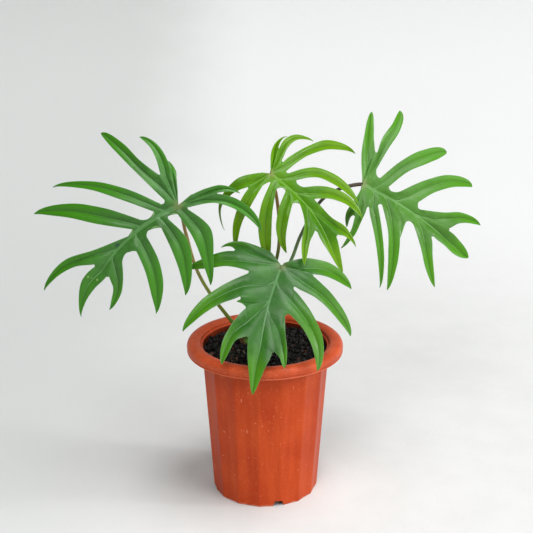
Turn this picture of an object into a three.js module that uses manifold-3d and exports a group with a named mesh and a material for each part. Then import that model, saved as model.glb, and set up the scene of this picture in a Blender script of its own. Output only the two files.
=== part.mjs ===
// A potted philodendron mayoi: four deeply lobed leaves on long stalks, rising from a short crown
// in a round nursery pot filled with soil. Millimetres, +Z up, origin at the centre of the pot's base,
// with the front of the plant towards -Y.
import * as THREE from 'three';
import { mergeVertices } from 'three/addons/utils/BufferGeometryUtils.js';
import Module from 'manifold-3d';

const wasm = await Module();
wasm.setup();

// Clearance between pieces that touch, and how far shapes run past each other where they join or cut
const GAP = 0.3;
const OVERRUN = 1;

// Pot
const POT_HEIGHT = 159.6;
const RIM_OUTER_R = 78;
const RIM_INNER_R = 64.2;
const RIM_DEPTH = 10.7;
const RIM_WALL = 2.4;
const RIM_ROUNDING = 7;
const RIM_EDGE = 1.8;
const RIM_CURVE_STEPS = 5;
const LEDGE_Z = 154.5;
const BODY_TOP_R = 64.2;
const BODY_BASE_R = 53.6;
const PANELS = 16;
const PANEL_TURN = THREE.MathUtils.degToRad(-6.4);
const CAVITY_TOP_R = 61.8;
const CAVITY_FLOOR_R = 50.6;
const FLOOR_THICKNESS = 3;
const ROUND_SEGMENTS = 48;
const DRAIN_COUNT = 4;
const DRAIN_TURN = THREE.MathUtils.degToRad(14.9);
const DRAIN_BASE_WIDTH = 12.5;
const DRAIN_TOP_WIDTH = 6.5;
const DRAIN_HEIGHT = 6;
const DRAIN_FROM = 30;
const DRAIN_TO = 60;
const DRAIN_ROOF = 2;
const DRAIN_HOLE_R = 3;
const DRAIN_HOLE_SEGMENTS = 12;
const DRAIN_HOLE_FROM_CENTRE = 41;

// Soil
const SOIL_EDGE_Z = 150.3;
const SOIL_DOME = 1.6;
const SOIL_LUMP = 0.9;
const SOIL_RINGS = 15;

// Crown that the stalks grow from
const CROWN_AT = [-18, 9];
const CROWN_BASE_Z = 140;
const CROWN_TOP_Z = 166;
const CROWN_R = 5.6;
const CROWN_TOP_R = 4.6;
const CROWN_SHOULDER_Z = 154.5;
const CROWN_ROUNDING = 1.5;
const CROWN_SEGMENTS = 20;

// Stalks
const STALK_R = 1.8;
const STALK_SIDES = 8;
const STALK_STEPS = 22;

// Blades
const BLADE_THICKNESS = 0.9;
const FOLD = 0.14;
const FOLD_WIDTH = 18;
const STATION_SPACING = 4;
const SAME_POINT = 1.2;
const ROUND_SINUS_FROM = 6;
const SINUS_ROUNDING = 0.3;
const LOBE_ROWS = [0.14, 0.28, 0.42, 0.56, 0.7, 0.82, 0.92];

// One lobe of a blade, in the blade's own plane: x runs along the midrib from the junction, y across it.
// root is where the lobe's vein leaves the midrib. near and far are its two edges, each from its sinus
// through one and two thirds of the way to the tip, near on the side of the junction. lift raises the tip.
const lobe = (root, near, far, tip, lift = 0) => ({ root, near, far, tip, lift });

// A blade's junction with its stalk, the midrib's direction there and the upper side's normal; length and
// sideways bow of the midrib; sag along it and arch across it, in mm at 100 mm; its end lobe and side lobes.
const LEAVES = {
  left: {
    junction: [-82, -20, 303], along: [-0.66, -0.31, -0.69], up: [0.05, -0.93, 0.36],
    length: 139, bow: -16, sag: 14, arch: 24,
    end: lobe(94, [[94, -6], [109, -8], [125, -6]], [[94, -23], [112, -22], [128, -13]], [139, 0]),
    lobes: [
      lobe(0, [[-11, -10], [-19, -17], [-25, -24]], [[-11, -16], [-16, -22], [-21, -28]], [-26, -34], -14),
      lobe(0, [[-15, -21], [-26, -36], [-31, -55]], [[-12, -33], [-20, -44], [-25, -58]], [-26, -72]),
      lobe(3, [[-11, -32], [-9, -56], [-11, -81]], [[5, -13], [2, -43], [0, -74]], [-5, -104]),
      lobe(12, [[9, -13], [20, -48], [37, -81]], [[20, -13], [31, -45], [44, -78]], [65, -105]),
      lobe(39, [[33, -18], [47, -51], [66, -82]], [[45, -18], [62, -46], [78, -75]], [96, -102]),
      lobe(69, [[52, -18], [82, -32], [112, -48]], [[94, -23], [107, -36], [125, -44]], [144, -44]),
      lobe(0, [[-15, 2], [-30, 9], [-43, 19]], [[-34, 20], [-39, 24], [-44, 29]], [-48, 36]),
      lobe(0, [[-34, 20], [-42, 37], [-44, 57]], [[-5, 8], [-25, 24], [-35, 48]], [-35, 74], -1),
      lobe(3, [[-4, 9], [-5, 37], [12, 58]], [[6, 5], [14, 28], [24, 51]], [35, 73], -8),
      lobe(19, [[15, 1], [18, 28], [34, 49]], [[26, 2], [35, 23], [46, 42]], [58, 61], -6),
      lobe(45, [[41, -3], [50, 21], [67, 41]], [[58, -1], [66, 18], [77, 36]], [90, 52], -4),
      lobe(76, [[74, -5], [86, 7], [99, 15]], [[94, -6], [98, 4], [106, 11]], [116, 16]),
    ],
  },
  middle: {
    junction: [6, 10, 327], along: [0.64, -0.34, -0.69], up: [0.25, -0.76, 0.6],
    length: 117, bow: 10, sag: 14, arch: 20,
    end: lobe(78, [[86, 16], [96, 11], [107, 6]], [[70, 0], [85, -1], [101, -1]], [117, 0]),
    lobes: [
      lobe(0, [[-5, 3], [-17, 14], [-24, 29]], [[-8, 13], [-16, 22], [-21, 33]], [-22, 45], -6),
      lobe(0, [[-8, 13], [-19, 34], [-17, 52]], [[-3, 17], [-11, 33], [-12, 49]], [-2, 62]),
      lobe(3, [[-3, 17], [-3, 51], [5, 83]], [[7, 14], [5, 45], [12, 76]], [29, 101], -8),
      lobe(11, [[10, 15], [21, 43], [45, 61]], [[20, 17], [30, 39], [50, 53]], [73, 60], -4),
      lobe(27, [[30, 19], [43, 40], [63, 54]], [[44, 19], [54, 36], [69, 47]], [87, 52]),
      lobe(45, [[49, 18], [68, 23], [86, 30]], [[86, 16], [90, 22], [97, 26]], [105, 27]),
      lobe(0, [[-6, -7], [-15, -28], [-9, -50]], [[-2, -29], [-5, -40], [-1, -51]], [10, -58], -34),
      lobe(1, [[-2, -29], [5, -44], [16, -55]], [[5, -16], [11, -32], [18, -48]], [33, -56], -50),
      lobe(4, [[7, -7], [19, -28], [39, -40]], [[17, -8], [30, -21], [46, -31]], [63, -40], -42),
      lobe(18, [[22, 0], [32, -17], [48, -29]], [[36, -3], [45, -15], [56, -25]], [67, -28], -22),
      lobe(49, [[37, 4], [56, -5], [71, -20]], [[70, 0], [74, -11], [82, -21]], [89, -30]),
    ],
  },
  right: {
    junction: [98, 50, 306], along: [0.84, -0.11, -0.53], up: [0.2, -0.84, 0.5],
    length: 132, bow: 5, sag: 8, arch: 12,
    end: lobe(94, [[100, 12], [111, 8], [122, 5]], [[88, -5], [103, -5], [118, -6]], [132, 0]),
    lobes: [
      lobe(0, [[-2, 1], [-15, 24], [-25, 48]], [[-6, 36], [-14, 48], [-21, 60]], [-30, 73]),
      lobe(0, [[-6, 36], [-6, 56], [-4, 77]], [[4, 21], [4, 47], [3, 73]], [-4, 97], -6),
      lobe(11, [[12, 16], [20, 44], [34, 69]], [[24, 13], [31, 38], [45, 61]], [58, 84]),
      lobe(36, [[36, 15], [51, 41], [72, 63]], [[58, 17], [66, 38], [81, 55]], [100, 68]),
      lobe(64, [[64, 12], [85, 23], [104, 36]], [[100, 12], [105, 23], [115, 31]], [126, 37]),
      lobe(0, [[1, -7], [1, -20], [1, -33]], [[9, -34], [7, -36], [8, -39]], [10, -42], -14),
      lobe(1, [[9, -34], [13, -43], [15, -53]], [[16, -18], [18, -33], [20, -48]], [16, -63], -16),
      lobe(9, [[16, -18], [35, -37], [53, -56]], [[24, -11], [41, -31], [58, -52]], [70, -76], -10),
      lobe(26, [[27, -8], [46, -28], [62, -52]], [[51, -12], [63, -32], [72, -53]], [77, -75], -6),
      lobe(37, [[53, -16], [56, -19], [58, -22]], [[57, -9], [58, -15], [59, -20]], [60, -26]),
      lobe(61, [[64, -7], [81, -21], [98, -36]], [[88, -5], [97, -20], [107, -33]], [117, -46]),
    ],
  },
  front: {
    junction: [16, -22, 244], along: [-0.21, -0.72, -0.66], up: [0.05, -0.68, 0.73],
    length: 125, bow: -4, sag: 16, arch: 14,
    end: lobe(82, [[86, 11], [99, 7], [112, 4]], [[77, -16], [94, -12], [109, -7]], [125, 0]),
    lobes: [
      lobe(0, [[-11, -12], [-16, -28], [-17, -44]], [[-7, -48], [-10, -51], [-10, -55]], [-10, -59]),
      lobe(0, [[-7, -48], [-2, -63], [6, -77]], [[13, -30], [11, -50], [15, -70]], [16, -90], -6),
      lobe(17, [[16, -30], [33, -52], [54, -70]], [[41, -31], [50, -49], [64, -64]], [80, -77]),
      lobe(37, [[41, -31], [42, -32], [43, -33]], [[49, -24], [47, -27], [46, -29]], [45, -34]),
      lobe(40, [[49, -24], [67, -33], [86, -38]], [[77, -16], [82, -26], [94, -30]], [105, -34]),
      lobe(0, [[-3, 2], [-14, 23], [-15, 49]], [[2, 31], [0, 44], [1, 57]], [2, 70], -6),
      lobe(3, [[4, 32], [16, 52], [32, 69]], [[20, 16], [25, 39], [37, 59]], [52, 78]),
      lobe(19, [[21, 16], [40, 37], [64, 54]], [[48, 19], [59, 34], [75, 46]], [92, 54]),
      lobe(46, [[51, 14], [67, 18], [82, 23]], [[86, 11], [89, 17], [93, 20]], [97, 24]),
    ],
  },
};

// Centre lines of the stalks, from inside the crown to just short of the junctions
const STALKS = {
  left: [[-19, 8, 157], [-32, 7, 174], [-55.5, 3, 209], [-67, 1, 233], [-76, -9, 273]],
  middle: [[-19, 11, 160], [-4, 10, 200], [12, 10, 243], [14, 10, 270], [11, 10, 305]],
  right: [[-15, 12, 160], [6, 19, 199], [26, 27, 233], [36, 33, 258], [56, 41, 291], [72, 45, 301]],
  front: [[-15, 5, 160], [0, -2, 195], [10, -10, 222]],
};

const material = (color, roughness) => new THREE.MeshStandardMaterial({ color, roughness, metalness: 0 });

const MATERIALS = {
  pot: material('#b6502c', 0.5),
  soil: material('#1d1916', 0.95),
  stem: material('#5f7a2c', 0.55),
  petiole_left: material('#6b6a34', 0.5),
  petiole_middle: material('#4d4a2c', 0.5),
  petiole_right: material('#3f3b33', 0.5),
  petiole_front: material('#5a7030', 0.5),
  leaf_left: material('#42803a', 0.42),
  leaf_middle: material('#68a51e', 0.42),
  leaf_right: material('#50962a', 0.42),
  leaf_front: material('#46874a', 0.42),
};

// A closed geometry as a solid for joining and cutting, its faces turned outwards
function toSolid(geometry) {
  const bare = geometry.clone();
  bare.deleteAttribute('normal');
  bare.deleteAttribute('uv');
  const merged = mergeVertices(bare);
  const vertProperties = new Float32Array(merged.attributes.position.array);
  const triVerts = new Uint32Array(merged.index.array);
  if (signedVolume(vertProperties, triVerts) < 0) {
    triVerts.reverse();
  }
  return new wasm.Manifold(new wasm.Mesh({ numProp: 3, vertProperties, triVerts }));
}

function signedVolume(vertices, triangles) {
  const corner = (i) => new THREE.Vector3().fromArray(vertices, 3 * triangles[i]);
  let volume = 0;
  for (let i = 0; i < triangles.length; i += 3) {
    volume += corner(i).dot(corner(i + 1).cross(corner(i + 2))) / 6;
  }
  return volume;
}

function toGeometry(solid) {
  const mesh = solid.getMesh();
  const geometry = new THREE.BufferGeometry();
  geometry.setAttribute('position', new THREE.BufferAttribute(new Float32Array(mesh.vertProperties), 3));
  geometry.setIndex(new THREE.BufferAttribute(new Uint32Array(mesh.triVerts), 1));
  geometry.computeVertexNormals();
  return geometry;
}

// A profile of [radius, height] points turned about the Z axis
function turned(profile, segments, turn = 0) {
  const points = profile.map(([radius, height]) => new THREE.Vector2(radius, height));
  return new THREE.LatheGeometry(points, segments).rotateX(Math.PI / 2).rotateZ(turn);
}

// The rolled rim in section: a skirt that hangs from a rounded top, and the top of the pot's wall inside it
function rimProfile() {
  const low = POT_HEIGHT - RIM_DEPTH;
  const skirt = RIM_OUTER_R - RIM_WALL;
  const wall = BODY_TOP_R + RIM_WALL;
  const roof = POT_HEIGHT - RIM_WALL - OVERRUN;
  const path = new THREE.Path();
  path.moveTo(skirt, low);
  path.lineTo(RIM_OUTER_R - RIM_EDGE, low);
  path.quadraticCurveTo(RIM_OUTER_R, low, RIM_OUTER_R, low + RIM_EDGE);
  path.quadraticCurveTo(RIM_OUTER_R, POT_HEIGHT, RIM_OUTER_R - RIM_ROUNDING, POT_HEIGHT);
  path.quadraticCurveTo(RIM_INNER_R, POT_HEIGHT, RIM_INNER_R, POT_HEIGHT - RIM_WALL);
  path.lineTo(RIM_INNER_R, LEDGE_Z);
  path.lineTo(CAVITY_TOP_R - OVERRUN, LEDGE_Z);
  path.lineTo(CAVITY_TOP_R - OVERRUN, low);
  path.lineTo(wall, low);
  path.quadraticCurveTo(wall, roof, (wall + skirt) / 2, roof);
  path.quadraticCurveTo(skirt, roof, skirt, low);
  return path.getPoints(RIM_CURVE_STEPS).map((point) => [point.x, point.y]);
}

// One drain channel under the base, running outwards along a radius; grow widens and heightens it
function drainChannel(index, grow, from, to) {
  const half = DRAIN_BASE_WIDTH / 2 + grow;
  const halfTop = DRAIN_TOP_WIDTH / 2 + grow;
  const section = new THREE.Shape([
    new THREE.Vector2(-half, -OVERRUN),
    new THREE.Vector2(half, -OVERRUN),
    new THREE.Vector2(halfTop, DRAIN_HEIGHT + grow),
    new THREE.Vector2(-halfTop, DRAIN_HEIGHT + grow),
  ]);
  const bar = new THREE.ExtrudeGeometry(section, { depth: to - from, bevelEnabled: false });
  const turn = DRAIN_TURN + (index * 2 * Math.PI) / DRAIN_COUNT;
  return toSolid(bar.rotateX(Math.PI / 2).translate(0, -from, 0).rotateZ(turn));
}

function drainHole(index) {
  const turn = DRAIN_TURN + (index * 2 * Math.PI) / DRAIN_COUNT;
  const length = 2 * (DRAIN_HEIGHT + DRAIN_ROOF + OVERRUN);
  const bore = new THREE.CylinderGeometry(DRAIN_HOLE_R, DRAIN_HOLE_R, length, DRAIN_HOLE_SEGMENTS);
  return toSolid(bore.rotateX(Math.PI / 2).translate(0, -DRAIN_HOLE_FROM_CENTRE, 0).rotateZ(turn));
}

function cavityRadius(z) {
  const share = (z - FLOOR_THICKNESS) / (LEDGE_Z - FLOOR_THICKNESS);
  return THREE.MathUtils.lerp(CAVITY_FLOOR_R, CAVITY_TOP_R, share);
}

function buildPot() {
  const wallTop = LEDGE_Z - OVERRUN;
  const wall = turned([[0, 0], [BODY_BASE_R, 0], [BODY_TOP_R, wallTop], [0, wallTop]], PANELS, PANEL_TURN);
  const rim = turned(rimProfile(), ROUND_SEGMENTS);
  const top = POT_HEIGHT + OVERRUN;
  const hollow = turned([
    [0, FLOOR_THICKNESS],
    [CAVITY_FLOOR_R, FLOOR_THICKNESS],
    [CAVITY_TOP_R, LEDGE_Z],
    [CAVITY_TOP_R, top],
    [0, top],
  ], ROUND_SEGMENTS);
  let cavity = toSolid(hollow);
  for (let i = 0; i < DRAIN_COUNT; i += 1) {
    cavity = cavity.subtract(drainChannel(i, DRAIN_ROOF, DRAIN_FROM - DRAIN_ROOF, DRAIN_TO));
  }
  let pot = toSolid(wall).add(toSolid(rim)).subtract(cavity);
  for (let i = 0; i < DRAIN_COUNT; i += 1) {
    pot = pot.subtract(drainChannel(i, 0, DRAIN_FROM, DRAIN_TO)).subtract(drainHole(i));
  }
  return toGeometry(pot);
}

// Height of the crumbly surface: a low dome with lumps of several sizes
function soilHeight(x, y) {
  const radius = Math.hypot(x, y) / CAVITY_TOP_R;
  const lumps = Math.sin(0.31 * x + 1.3 * Math.sin(0.17 * y)) * Math.sin(0.27 * y + 2.1)
    + 0.7 * Math.sin(0.71 * x - 0.5 * y) * Math.sin(0.63 * y + 0.4 * x + 0.8)
    + 0.5 * Math.sin(1.3 * x + 0.9 * y + 1.1) * Math.sin(1.1 * y - 0.8 * x);
  return SOIL_EDGE_Z + SOIL_DOME * (1 - radius * radius) + SOIL_LUMP * lumps * (1 - radius ** 6);
}

function buildSoil() {
  const bottom = FLOOR_THICKNESS + GAP;
  const positions = [0, 0, soilHeight(0, 0), 0, 0, bottom];
  const ring = (radius, height) => {
    for (let k = 0; k < ROUND_SEGMENTS; k += 1) {
      const angle = (2 * Math.PI * k) / ROUND_SEGMENTS;
      const x = radius * Math.sin(angle);
      const y = -radius * Math.cos(angle);
      positions.push(x, y, height ?? soilHeight(x, y));
    }
  };
  const rimRadius = cavityRadius(SOIL_EDGE_Z) - GAP;
  for (let i = 1; i <= SOIL_RINGS; i += 1) ring((rimRadius * i) / SOIL_RINGS);
  ring(cavityRadius(bottom) - GAP, bottom);
  const at = (row, k) => 2 + (row - 1) * ROUND_SEGMENTS + (k % ROUND_SEGMENTS);
  const index = [];
  for (let k = 0; k < ROUND_SEGMENTS; k += 1) {
    index.push(0, at(1, k), at(1, k + 1), 1, at(SOIL_RINGS + 1, k + 1), at(SOIL_RINGS + 1, k));
    for (let row = 1; row <= SOIL_RINGS; row += 1) {
      index.push(at(row, k), at(row + 1, k), at(row + 1, k + 1));
      index.push(at(row, k), at(row + 1, k + 1), at(row, k + 1));
    }
  }
  const geometry = new THREE.BufferGeometry();
  geometry.setAttribute('position', new THREE.Float32BufferAttribute(positions, 3));
  geometry.setIndex(index);
  let soil = toSolid(geometry);
  for (let i = 0; i < DRAIN_COUNT; i += 1) {
    soil = soil.subtract(drainChannel(i, DRAIN_ROOF + GAP, DRAIN_FROM - DRAIN_ROOF - GAP, DRAIN_TO));
  }
  return toGeometry(soil.subtract(toSolid(crownGeometry(GAP))));
}

// The crown, grown by a clearance when it cuts its neighbours
function crownGeometry(clearance) {
  const bottom = CROWN_BASE_Z - clearance;
  const top = CROWN_TOP_Z + clearance;
  const profile = [
    [0, bottom],
    [CROWN_R + clearance, bottom],
    [CROWN_R + clearance, CROWN_SHOULDER_Z],
    [CROWN_TOP_R + clearance, top - CROWN_ROUNDING],
    [CROWN_TOP_R + clearance - CROWN_ROUNDING, top],
    [0, top],
  ];
  return turned(profile, CROWN_SEGMENTS).translate(CROWN_AT[0], CROWN_AT[1], 0);
}

function droop(leaf, x, y) {
  return -leaf.sag * (Math.max(x, 0) / 100) ** 2 - leaf.arch * (y / 100) ** 2;
}

// The blade's middle surface as points and polygons in the blade's own plane. The midrib is a row of
// stations. Each lobe is a strip with its vein down the middle, and the web joins the strips to the midrib.
function bladeCage(leaf) {
  const points = [];
  const faces = [];
  const addPoint = (x, y, rise = 0) => points.push(new THREE.Vector3(x, y, droop(leaf, x, y) + rise)) - 1;
  // Ends of two sinuses that meet in one point share it
  const corners = [];
  const addCorner = ([x, y]) => {
    const shared = corners.find((id) => Math.hypot(points[id].x - x, points[id].y - y) < SAME_POINT);
    if (shared === undefined) corners.push(addPoint(x, y, FOLD * FOLD_WIDTH / 2));
    return shared ?? corners.at(-1);
  };
  // The bottom of a wide sinus, bulging towards the midrib
  const sinusPoints = (side, near, corner) => {
    const across = points[near].clone().sub(points[corner]);
    if (near === corner || Math.hypot(across.x, across.y) < ROUND_SINUS_FROM) return [];
    const middle = points[near].clone().lerp(points[corner], 0.5);
    return [addPoint(
      middle.x + side * SINUS_ROUNDING * across.y,
      middle.y - side * SINUS_ROUNDING * across.x,
      FOLD * FOLD_WIDTH / 2,
    )];
  };
  const addFace = (side, ids) => {
    const ring = ids.filter((id, i) => id !== ids[(i + 1) % ids.length]);
    if (ring.length > 2) faces.push(side > 0 ? ring : ring.reverse());
  };
  const midribY = (x) => 4 * leaf.bow * (x / leaf.length) * (1 - x / leaf.length);
  const gapAfter = (list, i) => (list[i].root + (list[i + 1] ?? leaf.end).root) / 2;

  const sides = [1, -1].map((side) => leaf.lobes.filter((item) => Math.sign(item.tip[1]) === side));
  const marks = sides.flatMap((list) => list.flatMap((item, i) => [item.root, gapAfter(list, i)]));
  const stations = [0];
  for (const mark of marks.sort((a, b) => a - b)) {
    const clear = leaf.end.root - mark > STATION_SPACING;
    if (mark - stations.at(-1) > STATION_SPACING && clear) stations.push(mark);
  }
  const midrib = stations.map((x) => addPoint(x, midribY(x)));
  const nearest = (x) => {
    const away = stations.map((station) => Math.abs(station - x));
    return away.indexOf(Math.min(...away));
  };

  // A strip from its first row of three points to its tip; the vein runs midway between the edges
  const growStrip = (item, row, leftEdge, rightEdge) => {
    const toPoint = (at) => new THREE.Vector2(...at);
    const toLine = (edge) => new THREE.SplineCurve([...edge, item.tip].map(toPoint));
    const leftLine = toLine(leftEdge);
    const rightLine = toLine(rightEdge);
    let last = row;
    for (const share of LOBE_ROWS) {
      const left = leftLine.getPoint(share);
      const right = rightLine.getPoint(share);
      const vein = left.clone().lerp(right, 0.5);
      const rise = item.lift * share * share;
      const fold = FOLD * Math.min(left.distanceTo(right), FOLD_WIDTH) / 2;
      const next = [
        addPoint(left.x, left.y, rise + fold),
        addPoint(vein.x, vein.y, rise),
        addPoint(right.x, right.y, rise + fold),
      ];
      faces.push([last[0], last[1], next[1], next[0]], [last[1], last[2], next[2], next[1]]);
      last = next;
    }
    const end = addPoint(...item.tip, item.lift);
    faces.push([last[0], last[1], end], [last[1], last[2], end]);
  };

  const halfway = ({ near, far }) => [(near[0][0] + far[0][0]) / 2, (near[0][1] + far[0][1]) / 2];
  midrib.push(addPoint(...halfway(leaf.end)));
  const endRow = [addCorner(leaf.end.near[0]), midrib.at(-1), addCorner(leaf.end.far[0])];
  sides.forEach((list, which) => {
    const side = which === 0 ? 1 : -1;
    let corner = midrib[0];
    let from = 0;
    list.forEach((item, i) => {
      const root = nearest(item.root);
      const gap = nearest(gapAfter(list, i));
      const near = addCorner(item.near[0]);
      const far = addCorner(item.far[0]);
      const heart = addPoint(...halfway(item));
      const bottom = corner === midrib[0] ? [] : sinusPoints(side, near, corner);
      addFace(side, [...midrib.slice(from, root + 1), heart, near, ...bottom, corner]);
      addFace(side, [...midrib.slice(root, gap + 1), far, heart]);
      if (side > 0) growStrip(item, [near, heart, far], item.near, item.far);
      else growStrip(item, [far, heart, near], item.far, item.near);
      corner = far;
      from = gap;
    });
    const last = endRow[side > 0 ? 0 : 2];
    addFace(side, [...midrib.slice(from), last, ...sinusPoints(side, last, corner), corner]);
  });
  growStrip(leaf.end, endRow, leaf.end.near, leaf.end.far);
  return { points, faces };
}

// Splits a polygon of the cage into triangles that keep its turning sense
function splitFace(points, ring) {
  if (ring.length === 4) {
    const [a, b, c, d] = ring;
    const diagonal = points[a].distanceTo(points[c]) < points[b].distanceTo(points[d]);
    return diagonal ? [[a, b, c], [a, c, d]] : [[a, b, d], [b, c, d]];
  }
  const outline = ring.map((id) => new THREE.Vector2(points[id].x, points[id].y));
  return THREE.ShapeUtils.triangulateShape(outline, []).map((corners) => corners.map((i) => ring[i]));
}

// The blade as a thin closed body: its middle surface set off both ways and walled round its outline
function buildBlade(leaf, thickness) {
  const { points, faces } = bladeCage(leaf);
  const triangles = faces.flatMap((ring) => splitFace(points, ring));
  const normals = points.map(() => new THREE.Vector3());
  for (const [a, b, c] of triangles) {
    const normal = points[b].clone().sub(points[a]).cross(points[c].clone().sub(points[a]));
    if (normal.z < 0) throw new Error('a blade triangle is turned over');
    for (const id of [a, b, c]) normals[id].add(normal);
  }
  const count = points.length;
  const positions = [thickness / 2, -thickness / 2].flatMap((offset) => points.flatMap(
    (point, i) => point.clone().addScaledVector(normals[i].normalize(), offset).toArray(),
  ));
  const edges = new Set(triangles.flatMap(([a, b, c]) => [`${a} ${b}`, `${b} ${c}`, `${c} ${a}`]));
  const index = triangles.flatMap(([a, b, c]) => [a, b, c, count + a, count + c, count + b]);
  for (const edge of edges) {
    const [a, b] = edge.split(' ').map(Number);
    if (!edges.has(`${b} ${a}`)) index.push(a, count + a, count + b, a, count + b, b);
  }
  const geometry = new THREE.BufferGeometry();
  geometry.setAttribute('position', new THREE.Float32BufferAttribute(positions, 3));
  geometry.setIndex(index);
  geometry.computeVertexNormals();
  return geometry;
}

// Turns and moves from the blade's own plane to the plant
function bladePlace(leaf) {
  const up = new THREE.Vector3(...leaf.up).normalize();
  const side = up.clone().cross(new THREE.Vector3(...leaf.along)).normalize();
  const along = side.clone().cross(up);
  return new THREE.Matrix4().makeBasis(along, side, up).setPosition(...leaf.junction);
}

function buildStalk(route, leaf) {
  const ring = new THREE.Shape();
  for (let k = 0; k < STALK_SIDES; k += 1) {
    const angle = (2 * Math.PI * k) / STALK_SIDES;
    ring[k === 0 ? 'moveTo' : 'lineTo'](STALK_R * Math.cos(angle), STALK_R * Math.sin(angle));
  }
  // It ends under the blade, lower for a stalk that arrives more nearly along the blade
  const place = bladePlace(leaf);
  const way = route.map((point) => new THREE.Vector3(...point));
  const last = way.at(-1).clone().applyMatrix4(place.clone().invert());
  const sink = BLADE_THICKNESS / 2 + STALK_R * (Math.hypot(last.x, last.y) / last.length());
  way.push(new THREE.Vector3(0, 0, -sink).applyMatrix4(place));
  const extrudePath = new THREE.CatmullRomCurve3(way);
  const rod = new THREE.ExtrudeGeometry(ring, { steps: STALK_STEPS, extrudePath });
  const blade = buildBlade(leaf, BLADE_THICKNESS + 2 * GAP).applyMatrix4(place);
  return toGeometry(toSolid(rod).subtract(toSolid(crownGeometry(GAP))).subtract(toSolid(blade)));
}

const plant = new THREE.Group();

function addMesh(name, geometry) {
  const mesh = new THREE.Mesh(geometry, MATERIALS[name]);
  mesh.name = name;
  plant.add(mesh);
  return mesh;
}

addMesh('pot', buildPot());
addMesh('soil', buildSoil());
addMesh('stem', toGeometry(toSolid(crownGeometry(0))));
for (const [name, leaf] of Object.entries(LEAVES)) {
  addMesh(`petiole_${name}`, buildStalk(STALKS[name], leaf));
  const blade = addMesh(`leaf_${name}`, buildBlade(leaf, BLADE_THICKNESS));
  bladePlace(leaf).decompose(blade.position, blade.quaternion, blade.scale);
}

export default plant;
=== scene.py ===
# %% [markdown]
# A young climbing philodendron with deeply cut leaves, in the plain plastic pot that it was grown in.
# The solids of the pot, soil, crown, stalks and leaves already stand at their real size. Each lesson below
# gives some of them their fine surface and their finish, in the same place, so that nothing has to be fitted
# later. Everything is worked out in millimetres and turned into metres where a mesh is made.

# %% Load the frame
import math

import bpy
import numpy as np
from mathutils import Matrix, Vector, kdtree, noise


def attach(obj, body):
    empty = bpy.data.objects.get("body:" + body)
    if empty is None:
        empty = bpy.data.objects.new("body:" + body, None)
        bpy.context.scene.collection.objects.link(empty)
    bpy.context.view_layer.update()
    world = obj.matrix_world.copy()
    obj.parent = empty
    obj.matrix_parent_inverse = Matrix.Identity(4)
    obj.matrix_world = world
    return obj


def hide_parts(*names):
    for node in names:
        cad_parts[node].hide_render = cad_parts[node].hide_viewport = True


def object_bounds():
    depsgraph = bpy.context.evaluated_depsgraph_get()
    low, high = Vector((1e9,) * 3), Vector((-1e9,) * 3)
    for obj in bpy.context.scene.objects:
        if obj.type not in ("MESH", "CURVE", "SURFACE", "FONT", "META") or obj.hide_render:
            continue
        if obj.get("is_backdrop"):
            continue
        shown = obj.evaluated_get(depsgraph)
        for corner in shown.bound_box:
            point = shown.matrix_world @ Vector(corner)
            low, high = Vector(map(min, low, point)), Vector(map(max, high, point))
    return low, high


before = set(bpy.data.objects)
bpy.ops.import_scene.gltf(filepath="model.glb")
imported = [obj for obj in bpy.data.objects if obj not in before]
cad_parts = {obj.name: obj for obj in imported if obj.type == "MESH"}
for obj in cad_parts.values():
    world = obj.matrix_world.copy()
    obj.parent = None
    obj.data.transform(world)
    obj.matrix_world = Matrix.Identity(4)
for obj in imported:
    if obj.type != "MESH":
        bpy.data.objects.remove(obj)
CAD_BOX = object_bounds()
MM = 0.001


def add_object(name, data):
    """An object in the scene that shows a mesh, a camera or a light."""
    made = bpy.data.objects.new(name, data)
    bpy.context.collection.objects.link(made)
    return made


print("solids:", ", ".join(sorted(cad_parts)))

# %% [markdown]
# The plant is seen from a little above, so that the pot's mouth is an open ellipse and the leaves hang
# towards the viewer. A long lens keeps the perspective gentle. A camera could be aimed by eye, but
# the two ellipses of the pot, at its rim and at its foot, fix the height, the tilt and the lens together.

# %% Camera
IMAGE_WIDTH = 533
FOCAL_PIXELS = 1200
CAMERA_AT = (1.549 * MM, -1109.45 * MM, 615.09 * MM)
CAMERA_TILT = 0.3294

camera_data = bpy.data.cameras.new("camera")
camera_data.lens = camera_data.sensor_width * FOCAL_PIXELS / IMAGE_WIDTH
camera_data.clip_end = 20
camera = add_object("camera", camera_data)
camera.location = CAMERA_AT
camera.rotation_euler = (math.pi / 2 - CAMERA_TILT, 0, 0)
bpy.context.scene.camera = camera
print(f"lens {camera_data.lens:.1f} mm, tilted down {math.degrees(CAMERA_TILT):.1f} degrees")

# %% [markdown]
# A finish is a small graph of nodes, and most of it is arithmetic: this mask times that one, one minus the
# result. Written as nodes it is hard to read, so one class wraps a socket and lets Python's own operators
# add the Math nodes. Every other kind of node comes from its one method `node`, which sets the node's
# settings first and then its sockets. Colours never pass through Math nodes, which would turn them grey.

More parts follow.
